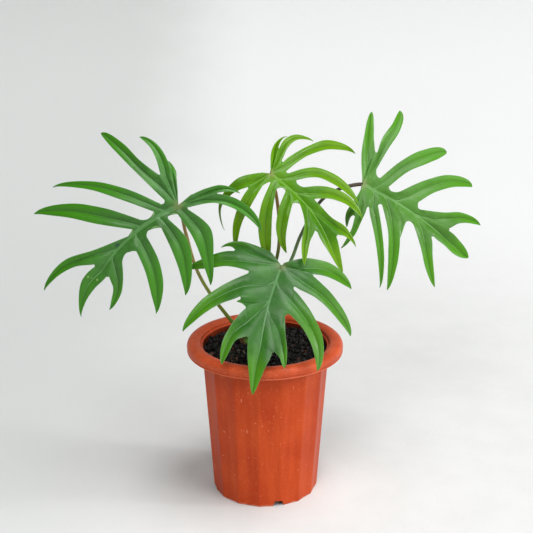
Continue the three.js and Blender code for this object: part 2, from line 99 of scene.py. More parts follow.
# %% Shader sums as Python
class Socket:
    """One output of a shader's graph. Operators on it add Math nodes; node() adds any other node."""

    def __init__(self, tree, output=None):
        self.tree = tree
        self.output = output

    def node(self, kind, settings=None, sockets=None, output=0):
        made = self.tree.nodes.new(kind)
        for name, value in (settings or {}).items():
            if name == "stops":
                set_stops(made.color_ramp, value)
            else:
                setattr(made, name, value)
        for name, value in (sockets or {}).items():
            if isinstance(value, Socket):
                self.tree.links.new(value.output, made.inputs[name])
            else:
                made.inputs[name].default_value = value
        return Socket(self.tree, made.outputs[output] if made.outputs else None)

    def math(self, operation, *values):
        return self.node("ShaderNodeMath", {"operation": operation}, dict(enumerate(values)))

    def __add__(self, other):
        return self.math("ADD", self, other)

    def __sub__(self, other):
        return self.math("SUBTRACT", self, other)

    def __rsub__(self, other):
        return self.math("SUBTRACT", other, self)

    def __mul__(self, other):
        return self.math("MULTIPLY", self, other)

    def __truediv__(self, other):
        return self.math("DIVIDE", self, other)

    __radd__ = __add__


def set_stops(ramp, stops):
    """Gives a colour ramp its stops, each a place from 0 to 1 and a colour."""
    while len(ramp.elements) < len(stops):
        ramp.elements.new(1)
    for element, (place, shade) in zip(ramp.elements, stops):
        element.position = place
        element.color = shade


# %% [markdown]
# More helpers say what a finish is made of. `colour` takes the red, green and blue that a paint chart
# gives and returns the linear light that a shader wants. `blend` mixes two colours by a mask, `between`
# turns a value into a soft mask, and `grain` is noise with its grain size in millimetres. Every finish
# begins and ends in the same way, so two more helpers open the graph and close it with its shader.

# %% Words for a finish
def colour(red, green, blue):
    """A colour from its usual 0 to 255 numbers, as linear light."""
    shares = [value / 255 for value in (red, green, blue)]
    linear = [s / 12.92 if s <= 0.04045 else ((s + 0.055) / 1.055) ** 2.4 for s in shares]
    return (*linear, 1)


def blend(mask, low, high):
    """The colour low where the mask is 0 and high where it is 1."""
    return mask.node("ShaderNodeMix", {"data_type": "RGBA"}, {0: mask, 6: low, 7: high}, 2)


def between(value, low, high):
    """A soft mask: 0 where the value is under low, 1 where it is over high."""
    settings = {"interpolation_type": "SMOOTHSTEP"}
    return value.node("ShaderNodeMapRange", settings, {0: value, 1: low, 2: high})


def stretch(place, scales):
    return place.node("ShaderNodeMapping", None, {"Vector": place, "Scale": scales})


def grain(place, size, detail=2, roughness=0.5):
    """Noise round 0.5 whose lumps are about size millimetres wide."""
    sockets = {"Vector": place, "Scale": 1 / (size * MM), "Detail": detail, "Roughness": roughness}
    return place.node("ShaderNodeTexNoise", None, sockets)


def attribute(paint, name):
    return paint.node("ShaderNodeAttribute", {"attribute_name": name}, None, "Fac")


def along_axis(place, axis):
    """How far a place lies along one axis, in millimetres."""
    return place.node("ShaderNodeSeparateXYZ", None, {0: place}, axis) / MM


def start_finish(name):
    """A new material: its graph to draw on, and the place on the object that its textures follow."""
    material = bpy.data.materials.new(name)
    material.use_nodes = True
    material.node_tree.nodes.clear()
    paint = Socket(material.node_tree)
    return material, paint, paint.node("ShaderNodeTexCoord", None, None, "Object")


def end_finish(paint, sockets, height, depth):
    """Adds the surface shader, with a relief of depth millimetres that follows the height."""
    sockets["Normal"] = paint.node("ShaderNodeBump", None, {"Height": height, "Distance": depth * MM})
    surface = paint.node("ShaderNodeBsdfPrincipled", None, sockets)
    paint.node("ShaderNodeOutputMaterial", None, {"Surface": surface})


# %% [markdown]
# Every piece is a mesh that this script builds from its own lists of points and faces. Turned bodies and rods
# are rings of points, so a few helpers list the faces between rings, whatever the rings are. One function
# makes the object, smooths its shading up to a chosen angle, hides the solid that it stands for, and says
# which body it moves with and which finish it has. It prints the piece's size, so that a slip shows at once.

# %% Making a piece
def make_mesh(name, points, faces):
    mesh = bpy.data.meshes.new(name)
    mesh.from_pydata(np.asarray(points, float) * MM, [], [tuple(map(int, face)) for face in faces])
    return mesh


def all_round(count):
    """Angles that share out one full turn."""
    return 2 * math.pi * np.arange(count) / count


def ring_faces(rings, columns, first=0):
    """Quads between rings of points that follow one another in a list, from the point first on."""
    beside = [(k, (k + 1) % columns) for k in range(columns)]
    starts = [first + ring * columns for ring in range(rings - 1)]
    return [(low + a, low + b, low + columns + b, low + columns + a) for low in starts for a, b in beside]


def turned_faces(rings, columns):
    """Faces of a turned body: its rings, with a point on the axis before them and one after."""
    beside = [(k, (k + 1) % columns) for k in range(columns)]
    last = 1 + (rings - 1) * columns
    faces = [(0, 1 + b, 1 + a) for a, b in beside] + ring_faces(rings, columns, 1)
    return faces + [(last + a, last + b, last + columns) for a, b in beside]


def rod_faces(rings, columns):
    """Faces of a rod: its rings, closed by one face at each end."""
    count = rings * columns
    ends = [tuple(range(columns))[::-1], tuple(range(count - columns, count))]
    return ring_faces(rings, columns) + ends


def turned_over(faces):
    """The same faces seen from their other side, each from the same first point."""
    return [(face[0], *face[:0:-1]) for face in faces]


def joined(shapes):
    """Points and faces of several shapes as those of one."""
    points, faces = [], []
    for shape_points, shape_faces in shapes:
        faces += [tuple(len(points) + i for i in face) for face in shape_faces]
        points += list(map(tuple, shape_points))
    return points, faces


def modified(piece):
    """A new mesh of an object as its modifiers leave it."""
    graph = bpy.context.evaluated_depsgraph_get()
    return bpy.data.meshes.new_from_object(piece.evaluated_get(graph))


def add_values(mesh, name, values):
    """Stores one number for each point of a mesh, for its finish to read."""
    layer = mesh.attributes.new(name, "FLOAT", "POINT")
    layer.data.foreach_set("value", np.asarray(values, np.float32))


def add_smooth(name, mesh, material):
    """An object with smooth shading and one material."""
    mesh.polygons.foreach_set("use_smooth", [True] * len(mesh.polygons))
    mesh.materials.append(material)
    return add_object(name, mesh)


def add_piece(name, mesh, material, node, sharp=40):
    mesh.validate()
    piece = add_smooth(name, mesh, material)
    mesh.set_sharp_from_angle(angle=math.radians(sharp))
    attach(piece, "root")
    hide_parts(node)
    triangles = sum(len(face.vertices) - 2 for face in mesh.polygons)
    size = " x ".join(f"{side / MM:.0f}" for side in piece.dimensions)
    print(f"{name}: {triangles} triangles, {size} mm")


# %% [markdown]
# The pot is one moulding of thin plastic with sixteen flat panels round its wall. Sixteen straight planes
# meet in corners that are slightly soft, because the mould is polished. A beveled prism could do it, but
# one formula is shorter: the planes' distances are added with a high power, which rounds the corners a
# little. The wall is turned from a profile, and each profile point says how far it follows the panels.

# %% Pot: its section and its panels
POT_HEIGHT = 159.6
PANELS = 16
PANEL_TURN = math.radians(-6.4)
CORNER_POWER = 900
PANEL_DIP = 0.008
FOOT_R = 53.6
WALL_TOP_R = 64.2
WALL_TOP_Z = 153.5
RIM_R = 78.0
RIM_LOW_Z = 148.9
MOUTH_R = 64.2
LEDGE_Z = 154.5
CAVITY_R = 61.8
CAVITY_FLOOR_R = 51.2
FLOOR_TOP_Z = 9.0
FOOT_RECESS = 0.8


def curve_steps(start, pull, end, steps):
    """Points along a quadratic curve, without its first point."""
    shares = np.linspace(0, 1, steps + 1)[1:]
    at = [np.array(point, float) for point in (start, pull, end)]
    return [tuple((1 - t) ** 2 * at[0] + 2 * t * (1 - t) * at[1] + t * t * at[2]) for t in shares]


def wall_radius(z):
    return FOOT_R + (WALL_TOP_R - FOOT_R) * z / WALL_TOP_Z


def pot_section():
    """The pot's section from the middle of its underside round to the middle of its floor inside.

    Each point is a radius, a height and a share from 0, round, to 1, following the panels."""
    section = [(0, FOOT_RECESS, 0), (25, FOOT_RECESS, 0), (48, FOOT_RECESS, 1), (49.6, FOOT_RECESS, 1)]
    section += [(50.2, 0, 1), (FOOT_R - 0.9, 0, 1), (FOOT_R - 0.25, 0.2, 1), (FOOT_R, 0.8, 1)]
    section += [(wall_radius(z), z, 1) for z in np.linspace(3, 147, 46)]
    inner_wall = (MOUTH_R + 2.4, 151)
    roof = (71.1, 156.2)
    skirt = (RIM_R - 2.4, RIM_LOW_Z)
    section += [(MOUTH_R + 1.2, 149.4, 0.5), (*inner_wall, 0)]
    section += [(*at, 0) for at in curve_steps(inner_wall, (inner_wall[0], roof[1]), roof, 6)]
    section += [(*at, 0) for at in curve_steps(roof, (skirt[0], roof[1]), skirt, 6)]
    lip = [(77.1, 148.9), (77.55, 149.1), (77.7, 149.5), (77.65, 150.0), (77.3, 150.4), (76.95, 150.7)]
    section += [(*at, 0) for at in lip]
    side = (RIM_R - 0.1, 154.2)
    crest = (70.8, POT_HEIGHT)
    inner = (MOUTH_R, 156.6)
    section += [(*at, 0) for at in curve_steps(lip[-1], (RIM_R, 151.6), side, 8)]
    section += [(*at, 0) for at in curve_steps(side, (RIM_R - 0.6, POT_HEIGHT - 0.2), crest, 14)]
    section += [(*at, 0) for at in curve_steps(crest, (MOUTH_R + 0.4, POT_HEIGHT - 0.1), inner, 12)]
    section += [(MOUTH_R, LEDGE_Z + 0.9, 0), (MOUTH_R - 0.3, LEDGE_Z + 0.2, 0), (MOUTH_R - 0.9, LEDGE_Z, 0)]
    section += [(CAVITY_R + 0.5, LEDGE_Z, 0), (CAVITY_R + 0.1, LEDGE_Z - 0.2, 0)]
    section += [(CAVITY_R, LEDGE_Z - 0.7, 0)]
    cavity = np.linspace(LEDGE_Z - 3, FLOOR_TOP_Z, 12)
    slope = (CAVITY_R - CAVITY_FLOOR_R) / LEDGE_Z
    section += [(CAVITY_R - slope * (LEDGE_Z - z), z, 0) for z in cavity]
    section += [(25, FLOOR_TOP_Z, 0), (0, FLOOR_TOP_Z, 0)]
    return section


def panel_share(angles):
    """Radius of the sixteen-sided section at each angle, for a corner radius of 1."""
    centres = PANEL_TURN + math.pi / PANELS + all_round(PANELS)
    facing = np.cos(angles[:, None] - centres[None, :]).clip(0)
    together = (facing ** CORNER_POWER).sum(1) ** (1 / CORNER_POWER)
    across = np.arccos(facing.max(1).clip(0, 1)) * PANELS / math.pi
    return math.cos(math.pi / PANELS) / together - PANEL_DIP * (1 - across ** 2)


print(f"{PANELS} panels, foot {2 * FOOT_R:.0f} mm, rim {2 * RIM_R:.0f} mm across")

# %% [markdown]
# Four drain channels run out under the base and end in notches in the foot, each with a round hole. They
# are cut with Boolean modifiers, as a machinist would mill them, because the notch then follows the panels
# by itself. The section is closed at its two ends on the axis, so the pot is a solid that can be cut.

# %% Pot: turned and cut
POT_COLUMNS = 256
DRAINS = 4
DRAIN_TURN = math.radians(14.9)
DRAIN_HALF_WIDTH = 6.25
DRAIN_HALF_TOP = 3.25
DRAIN_HEIGHT = 6.0
DRAIN_CORNER = 0.9
DRAIN_SHOULDER = [(1, -2), (0.5, -0.6), (-0.3, 0)]
DRAIN_INNER_R = 30
DRAIN_OUTER_R = 60
HOLE_R = 3
HOLE_AT_R = 41
HOLE_SIDES = 32
CUT_MARGIN = 1


def turned_solid(section, columns):
    """Points and faces of a section turned about the Z axis, from axis to axis."""
    angles = all_round(columns)
    flats = panel_share(angles)
    points = [(0, 0, section[0][1])]
    for radius, z, share in section[1:-1]:
        radii = radius * (1 + share * (flats - 1))
        points += zip(radii * np.sin(angles), -radii * np.cos(angles), np.full(columns, z))
    points.append((0, 0, section[-1][1]))
    return points, turned_faces(len(section) - 2, columns)


def prism(outline, direction, start, end, turn):
    """A closed prism: an outline of (across, up) points run along a radius, or of (x, y) points run up."""
    cosine, sine = math.cos(turn), math.sin(turn)
    points = []
    for way in (start, end):
        for across, up in outline:
            x, y, z = (across, -way, up) if direction == "out" else (across, up - HOLE_AT_R, way)
            points.append((x * cosine - y * sine, x * sine + y * cosine, z))
    return points, rod_faces(2, len(outline))


def cut(piece, name, shapes):
    """Cuts closed shapes out of a piece."""
    tool = add_object(name, make_mesh(name, *joined(shapes)))
    modifier = piece.modifiers.new(name, "BOOLEAN")
    modifier.object = tool
    modifier.solver = "EXACT"
    result = modified(piece)
    piece.modifiers.clear()
    piece.data = result
    bpy.data.objects.remove(tool)


def build_pot():
    base = add_object("pot_blank", make_mesh("pot_shell", *turned_solid(pot_section(), POT_COLUMNS)))
    outline = [(-DRAIN_HALF_WIDTH, -CUT_MARGIN), (DRAIN_HALF_WIDTH, -CUT_MARGIN)]
    for out, up in DRAIN_SHOULDER:
        outline.append((DRAIN_HALF_TOP + out * DRAIN_CORNER, DRAIN_HEIGHT + up * DRAIN_CORNER))
    outline += [(-across, up) for across, up in outline[:1:-1]]
    circle = [(HOLE_R * math.cos(angle), HOLE_R * math.sin(angle)) for angle in all_round(HOLE_SIDES)]
    turns = DRAIN_TURN + all_round(DRAINS)
    cut(base, "channels", [prism(outline, "out", DRAIN_INNER_R, DRAIN_OUTER_R, turn) for turn in turns])
    top = FLOOR_TOP_Z + 2 * CUT_MARGIN
    cut(base, "holes", [prism(circle, "up", -CUT_MARGIN, top, turn) for turn in turns])
    mesh = base.data
    bpy.data.objects.remove(base)
    return mesh


pot_mesh = build_pot()
print("pot cut, faces:", len(pot_mesh.polygons))

# %% [markdown]
# The plastic is dyed right through in the orange red of fired clay, with a soft gloss. What makes it real
# is small: the colour drifts in upright streaks, as it flowed in the mould, and handling has left pale
# scuffs and specks, most of them on the wall and along the foot. Some light and shade is painted too: the
# rim's lower bead is paler, part wear and part painted highlight, its left and right ends carry a painted
# sheen in the scuff colour, and the inside of the mouth is darkened as painted shade. Thresholded cells give
# the specks and a stretched noise the streaks. The masks by height and radius are in the pot's own
# millimetres, and the relief is the faint orange peel of a cheap mould.

# %% Pot: terracotta-coloured plastic
POT_DEEP = colour(162, 50, 10)
POT_BRIGHT = colour(192, 76, 28)
# A pale colour for real scuffs, and also for the painted sheen at the rim's left and right ends.
POT_SCUFF_AND_SHEEN = colour(226, 152, 120)
# Painted shade: a dark red that darkens the inside of the mouth.
POT_CAVITY_SHADE = colour(92, 30, 14)
POT_GLOSS = 0.12
POT_PEEL_DEPTH = 0.08
SPECK_CELL = 7


def specks(place, size, share, seed):
    """Small round spots about size mm wide, in a share of the cells of a coarser grid."""
    shifted = place.node("ShaderNodeMapping", None, {"Vector": place, "Location": (seed, seed, seed)})
    cells = {"Vector": shifted, "Scale": 1 / (SPECK_CELL * size * MM)}
    distance = place.node("ShaderNodeTexVoronoi", None, cells, "Distance")
    chance = place.node("ShaderNodeTexVoronoi", None, cells, "Color")
    luck = place.node("ShaderNodeSeparateColor", None, {0: chance}, "Red")
    spot = 1 - between(distance, 0.05, 0.14)
    return spot * (1 - between(luck, share, share + 0.02))


def plastic_finish():
    material, paint, place = start_finish("pot_plastic")
    upright = stretch(place, (1, 1, 0.06))
    streaks = between(grain(upright, 7, 3), 0.3, 0.7)
    clouds = between(grain(place, 40, 3), 0.35, 0.65)
    speckle = between(grain(place, 1.4, 3, 0.7), 0.3, 0.7)
    body = blend(streaks * 0.35 + clouds * 0.3 + speckle * 0.25, POT_DEEP, POT_BRIGHT)
    across, away, height = (along_axis(place, axis) for axis in "XYZ")
    radius = paint.math("SQRT", across * across + away * away)
    lean = (CAVITY_R - CAVITY_FLOOR_R) / LEDGE_Z
    inside = 1 - between(radius - CAVITY_R + (LEDGE_Z - height) * lean, 0.2, 0.7)
    # Painted shade: the wall inside the mouth is mixed towards a dark red.
    body = blend(inside * (0.7 + clouds * 0.25), body, POT_CAVITY_SHADE)
    handled = between(height, 4, 30) * (1 - between(height, 120, 152)) * 0.85 + 0.15
    foot = (1 - between(height, 0.4, 3)) * between(grain(place, 5, 2), 0.45, 0.55)
    clustered = between(grain(place, 15, 2), 0.4, 0.62)
    dots = specks(place, 0.6, 0.5, 0.3) * 0.8 + specks(place, 0.9, 0.5, 2.6) * clustered
    dots = dots + specks(place, 1.5, 0.1, 1.7)
    hairs = specks(stretch(place, (1, 1, 0.25)), 0.8, 0.1, 4.1)
    rubbed = between(grain(stretch(place, (1, 1, 0.5)), 2.4, 4, 0.75), 0.56, 0.76)
    rim = between(height, RIM_LOW_Z - 0.5, RIM_LOW_Z) * (1 - inside)
    scraped = between(grain(stretch(place, (1, 1, 3)), 3.0, 4, 0.75), 0.52, 0.74) * 0.4 + 0.06
    # The rim's lower bead is mixed paler all round: part wear, part a painted highlight along its edge.
    bead_wear_and_highlight = rim * (1 - between(height, RIM_LOW_Z + 0.3, RIM_LOW_Z + 1.3))
    wear_and_sheen = dots * handled * 0.8 + hairs * handled * 0.7 + rubbed * 0.3 + foot * 0.6
    # Painted sheen: the rim is mixed paler towards its left and right ends, as if its rounded side caught
    # light there.
    rim_side_sheen = rim * between(radius, RIM_R - 6, RIM_R - 2) * between(across.math("ABSOLUTE"), 45, 70)
    wear_and_sheen = paint.math("MINIMUM", 1.0, wear_and_sheen + rim * scraped + bead_wear_and_highlight * 0.35 + rim_side_sheen * (0.45 + scraped))
    shade = blend(wear_and_sheen * 0.7, body, POT_SCUFF_AND_SHEEN)
    rough = 0.42 + clouds * 0.06 + wear_and_sheen * 0.3
    peel = grain(place, 1.1, 3, 0.6) + grain(upright, 3, 2) * 0.6
    sockets = {"Base Color": shade, "Roughness": rough, "Specular IOR Level": POT_GLOSS}
    sockets.update({"Coat Weight": 0.1 + rim * 0.06, "Coat Roughness": 0.32})
    end_finish(paint, sockets, peel, POT_PEEL_DEPTH)
    return material


add_piece("pot_shell", pot_mesh, plastic_finish(), "pot", sharp=38)

# %% [markdown]
# The potting mix is black peat and bark in crumbs of one to five millimetres. A displaced disc alone looks
# like tar, and crumbs alone leave holes, so both are used: a lumpy disc that closes the pot, and seeded
# crumbs pressed half into it. Each crumb is a small ball pulled out of shape, turned and squashed, and all
# of them are one mesh, because nobody picks them up one by one.

# %% Soil: shape
SOIL_EDGE_Z = 150.3
SOIL_DOME = 1.6
SOIL_LUMP = 0.9
SOIL_R = 61.2
SOIL_BASE_R = 51.0
SOIL_BASE_Z = 9.4
SOIL_RINGS = 84
SOIL_COLUMNS = 180
SOIL_SKIRT = (SOIL_R - 0.6, SOIL_EDGE_Z - 6)
SOIL_ROUGHNESS = 2.4
SOIL_ROUGH_SIZE = 0.45
SOIL_ROUGH_MIDDLE = 0.55
SOIL_SEED = 7
BALL_STEPS = 5
CRUMBS = 1500
CRUMB_SMALL = 0.7
CRUMB_LARGE = 2.5
CRUMB_FEW_LARGE = 2.2
CRUMB_LUMPS = 0.28
CRUMB_STRETCH = (0.55, 1.25)
CRUMB_UP = 0.25
CROWN_AT = (-18.0, 9.0)


def soil_height(x, y):
    """Height of the mix: the same low dome and lumps as the solid, with finer crumbs on top."""
    radius = np.hypot(x, y) / CAVITY_R
    lumps = np.sin(0.31 * x + 1.3 * np.sin(0.17 * y)) * np.sin(0.27 * y + 2.1)
    lumps += 0.7 * np.sin(0.71 * x - 0.5 * y) * np.sin(0.63 * y + 0.4 * x + 0.8)
    lumps += 0.5 * np.sin(1.3 * x + 0.9 * y + 1.1) * np.sin(1.1 * y - 0.8 * x)
    return SOIL_EDGE_Z + SOIL_DOME * (1 - radius ** 2) + SOIL_LUMP * lumps * (1 - radius ** 6)


def ball_points(steps):
    """A small closed ball of radius 1 as rings of points, with its faces."""
    points = [(0, 0, -1)]
    for row in range(1, steps):
        low = math.pi * row / steps
        for turn in all_round(2 * steps):
            points.append((math.sin(low) * math.cos(turn), math.sin(low) * math.sin(turn), -math.cos(low)))
    points.append((0, 0, 1))
    return np.array(points), turned_faces(steps - 1, 2 * steps)


def turn_matrix(rng):
    """A random turn in space."""
    a, b, c, d = rng.normal(size=4)
    size = math.sqrt(a * a + b * b + c * c + d * d)
    a, b, c, d = a / size, b / size, c / size, d / size
    return np.array([
        [1 - 2 * (c * c + d * d), 2 * (b * c - a * d), 2 * (b * d + a * c)],
        [2 * (b * c + a * d), 1 - 2 * (b * b + d * d), 2 * (c * d - a * b)],
        [2 * (b * d - a * c), 2 * (c * d + a * b), 1 - 2 * (b * b + c * c)],
    ])


def soil_body():
    """The lumpy disc that closes the pot, and the plain body under it."""
    angles = all_round(SOIL_COLUMNS)
    points = [(0, 0, float(soil_height(0, 0)))]
    for ring in range(1, SOIL_RINGS + 1):
        radius = SOIL_R * ring / SOIL_RINGS
        x = radius * np.sin(angles)
        y = -radius * np.cos(angles)
        at = [Vector((a * SOIL_ROUGH_SIZE, b * SOIL_ROUGH_SIZE, 3)) for a, b in zip(x, y)]
        fine = [noise.turbulence(point, 3, False) for point in at]
        points += zip(x, y, soil_height(x, y) + SOIL_ROUGHNESS * (np.array(fine) - SOIL_ROUGH_MIDDLE))
    for radius, z in (SOIL_SKIRT, (SOIL_BASE_R, SOIL_BASE_Z)):
        points += zip(radius * np.sin(angles), -radius * np.cos(angles), np.full(SOIL_COLUMNS, z))
    points.append((0, 0, SOIL_BASE_Z))
    return points, turned_over(turned_faces(SOIL_RINGS + 2, SOIL_COLUMNS))


def build_soil():
    rng = np.random.default_rng(SOIL_SEED)
    shapes = [soil_body()]
    kinds = [0.0] * len(shapes[0][0])
    ball, ball_faces = ball_points(BALL_STEPS)
    for _ in range(CRUMBS):
        size = CRUMB_SMALL + (CRUMB_LARGE - CRUMB_SMALL) * rng.random() ** CRUMB_FEW_LARGE
        away = (SOIL_R - size) * math.sqrt(rng.random())
        turn = 2 * math.pi * rng.random()
        x, y = away * math.sin(turn), away * math.cos(turn)
        kind = rng.random()
        bumps = 1 + CRUMB_LUMPS * rng.normal(size=(len(ball), 1))
        shaped = (ball * bumps * rng.uniform(*CRUMB_STRETCH, 3)) @ turn_matrix(rng).T * size
        centre = np.array([x, y, float(soil_height(x, y)) + CRUMB_UP * size])
        shapes.append((shaped + centre, ball_faces))
        kinds += [kind] * len(ball)
    mesh = make_mesh("soil_surface", *joined(shapes))
    add_values(mesh, "kind", kinds)
    return mesh


soil_mesh = build_soil()
print("soil points:", len(soil_mesh.vertices))

# %% [markdown]
# Damp peat is nearly black and only its wet facets shine. Here and there a crumb is brown bark or orange
# fibre, and a few are pale. Each crumb carries one random number, and a colour ramp turns that number
# into its colour, so that whole crumbs differ and not patches of them.

# %% Soil: damp peat
SOIL_SHADOW = colour(7, 6, 5)
SOIL_GLOSS = 0.32
SOIL_RELIEF = 0.5
CRUMB_COLOURS = [
    (0.0, colour(8, 7, 6)), (0.45, colour(17, 14, 11)), (0.72, colour(36, 26, 18)),
    (0.86, colour(15, 13, 10)), (0.93, colour(112, 56, 28)), (0.955, colour(118, 110, 92)),
]


def soil_finish():
    material, paint, place = start_finish("potting_mix")
    crumb = paint.node("ShaderNodeValToRGB", {"stops": CRUMB_COLOURS}, {0: attribute(paint, "kind")})
    dark = between(grain(place, 1.6, 4, 0.65), 0.35, 0.62)
    wet = between(grain(place, 3.5, 2), 0.42, 0.6)
    sockets = {"Base Color": blend(dark, SOIL_SHADOW, crumb), "Roughness": 0.74 - wet * 0.44}
    sockets["Specular IOR Level"] = SOIL_GLOSS
    end_finish(paint, sockets, grain(place, 0.9, 4, 0.7), SOIL_RELIEF)
    return material


add_piece("soil_surface", soil_mesh, soil_finish(), "soil", sharp=35)

# %% [markdown]
# A stalk is a long, slightly bent rod: a little swollen where it clasps the crown, slimmest in the middle,
# with a shallow groove on its upper side and a soft knee just under the blade. A curve with a bevel would
# make the rod, but not the groove or the changing thickness, so the tube is laid ring by ring along a
# smooth line through given points. Its last stretch runs on under the midrib and thins out there.

# %% Smooth lines and tubes
GROOVE_WIDTH = 0.5
FIRST_ACROSS = (0, -1, 0.4)


def smooth_line(route, spacing):
    """Points about spacing mm apart on a smooth line through a route."""
    route = [np.array(point, float) for point in route]
    ends = [2 * route[0] - route[1], *route, 2 * route[-1] - route[-2]]
    line = []
    for before, here, after, beyond in zip(ends, ends[1:], ends[2:], ends[3:]):
        knots = [0.0]
        for a, b in ((before, here), (here, after), (after, beyond)):
            knots.append(knots[-1] + math.sqrt(np.linalg.norm(b - a)))
        steps = max(2, round(np.linalg.norm(after - here) / spacing))
        for t in np.linspace(knots[1], knots[2], steps, endpoint=False):
            level = [before, here, after, beyond]
            for reach in (1, 2):
                nearer = []
                for i, (low, high) in enumerate(zip(knots, knots[reach:])):
                    nearer.append((level[i] * (high - t) + level[i + 1] * (t - low)) / (high - low))
                level = nearer
            share = (t - knots[1]) / (knots[2] - knots[1])
            line.append(level[0] * (1 - share) + level[1] * share)
    line.append(route[-1])
    return np.array(line)


def tube(line, radii, sides, groove):
    """Rings along a line, closed at both ends. The groove is a shallow channel on the upper side."""
    ways = np.gradient(line, axis=0)
    ways /= np.linalg.norm(ways, axis=1)[:, None]
    points, turns, shares = [], [], []
    across = np.cross(ways[0], FIRST_ACROSS)
    for at, way, radius, share in zip(line, ways, radii, np.linspace(0, 1, len(line))):
        across = across - way * across.dot(way)
        across /= np.linalg.norm(across)
        up = np.cross(across, way)
        for angle in all_round(sides):
            dip = 1 - groove * math.exp(-((math.pi / 2 - angle) / GROOVE_WIDTH) ** 2)
            points.append(at + radius * dip * (math.cos(angle) * across + math.sin(angle) * up))
            turns.append(math.sin(angle))
            shares.append(share)
    return points, rod_faces(len(line), sides), turns, shares


print("smooth lines and tubes are ready")

# %% [markdown]
# A blade is described in its own plane: x runs along the midrib from the stalk, y across it. Each lobe has
# two edges, drawn as smooth lines from the notch beside it to its tip. A number after the tip lifts or drops
# it, and one more says how blunt it is. Real blades are never flat, so each leaf also bows to one side, sags
# along its midrib and arches across it. These are the plant's driving sizes in millimetres, lobe by lobe.

# %% Blades: the four leaves
def lobe(root, near, far, tip, lift=0, blunt=0.25):
    """root: where its vein leaves the midrib. near, far: its edges, near on the side of the stalk."""
    return {"root": root, "near": near, "far": far, "tip": tip, "lift": lift, "blunt": blunt}


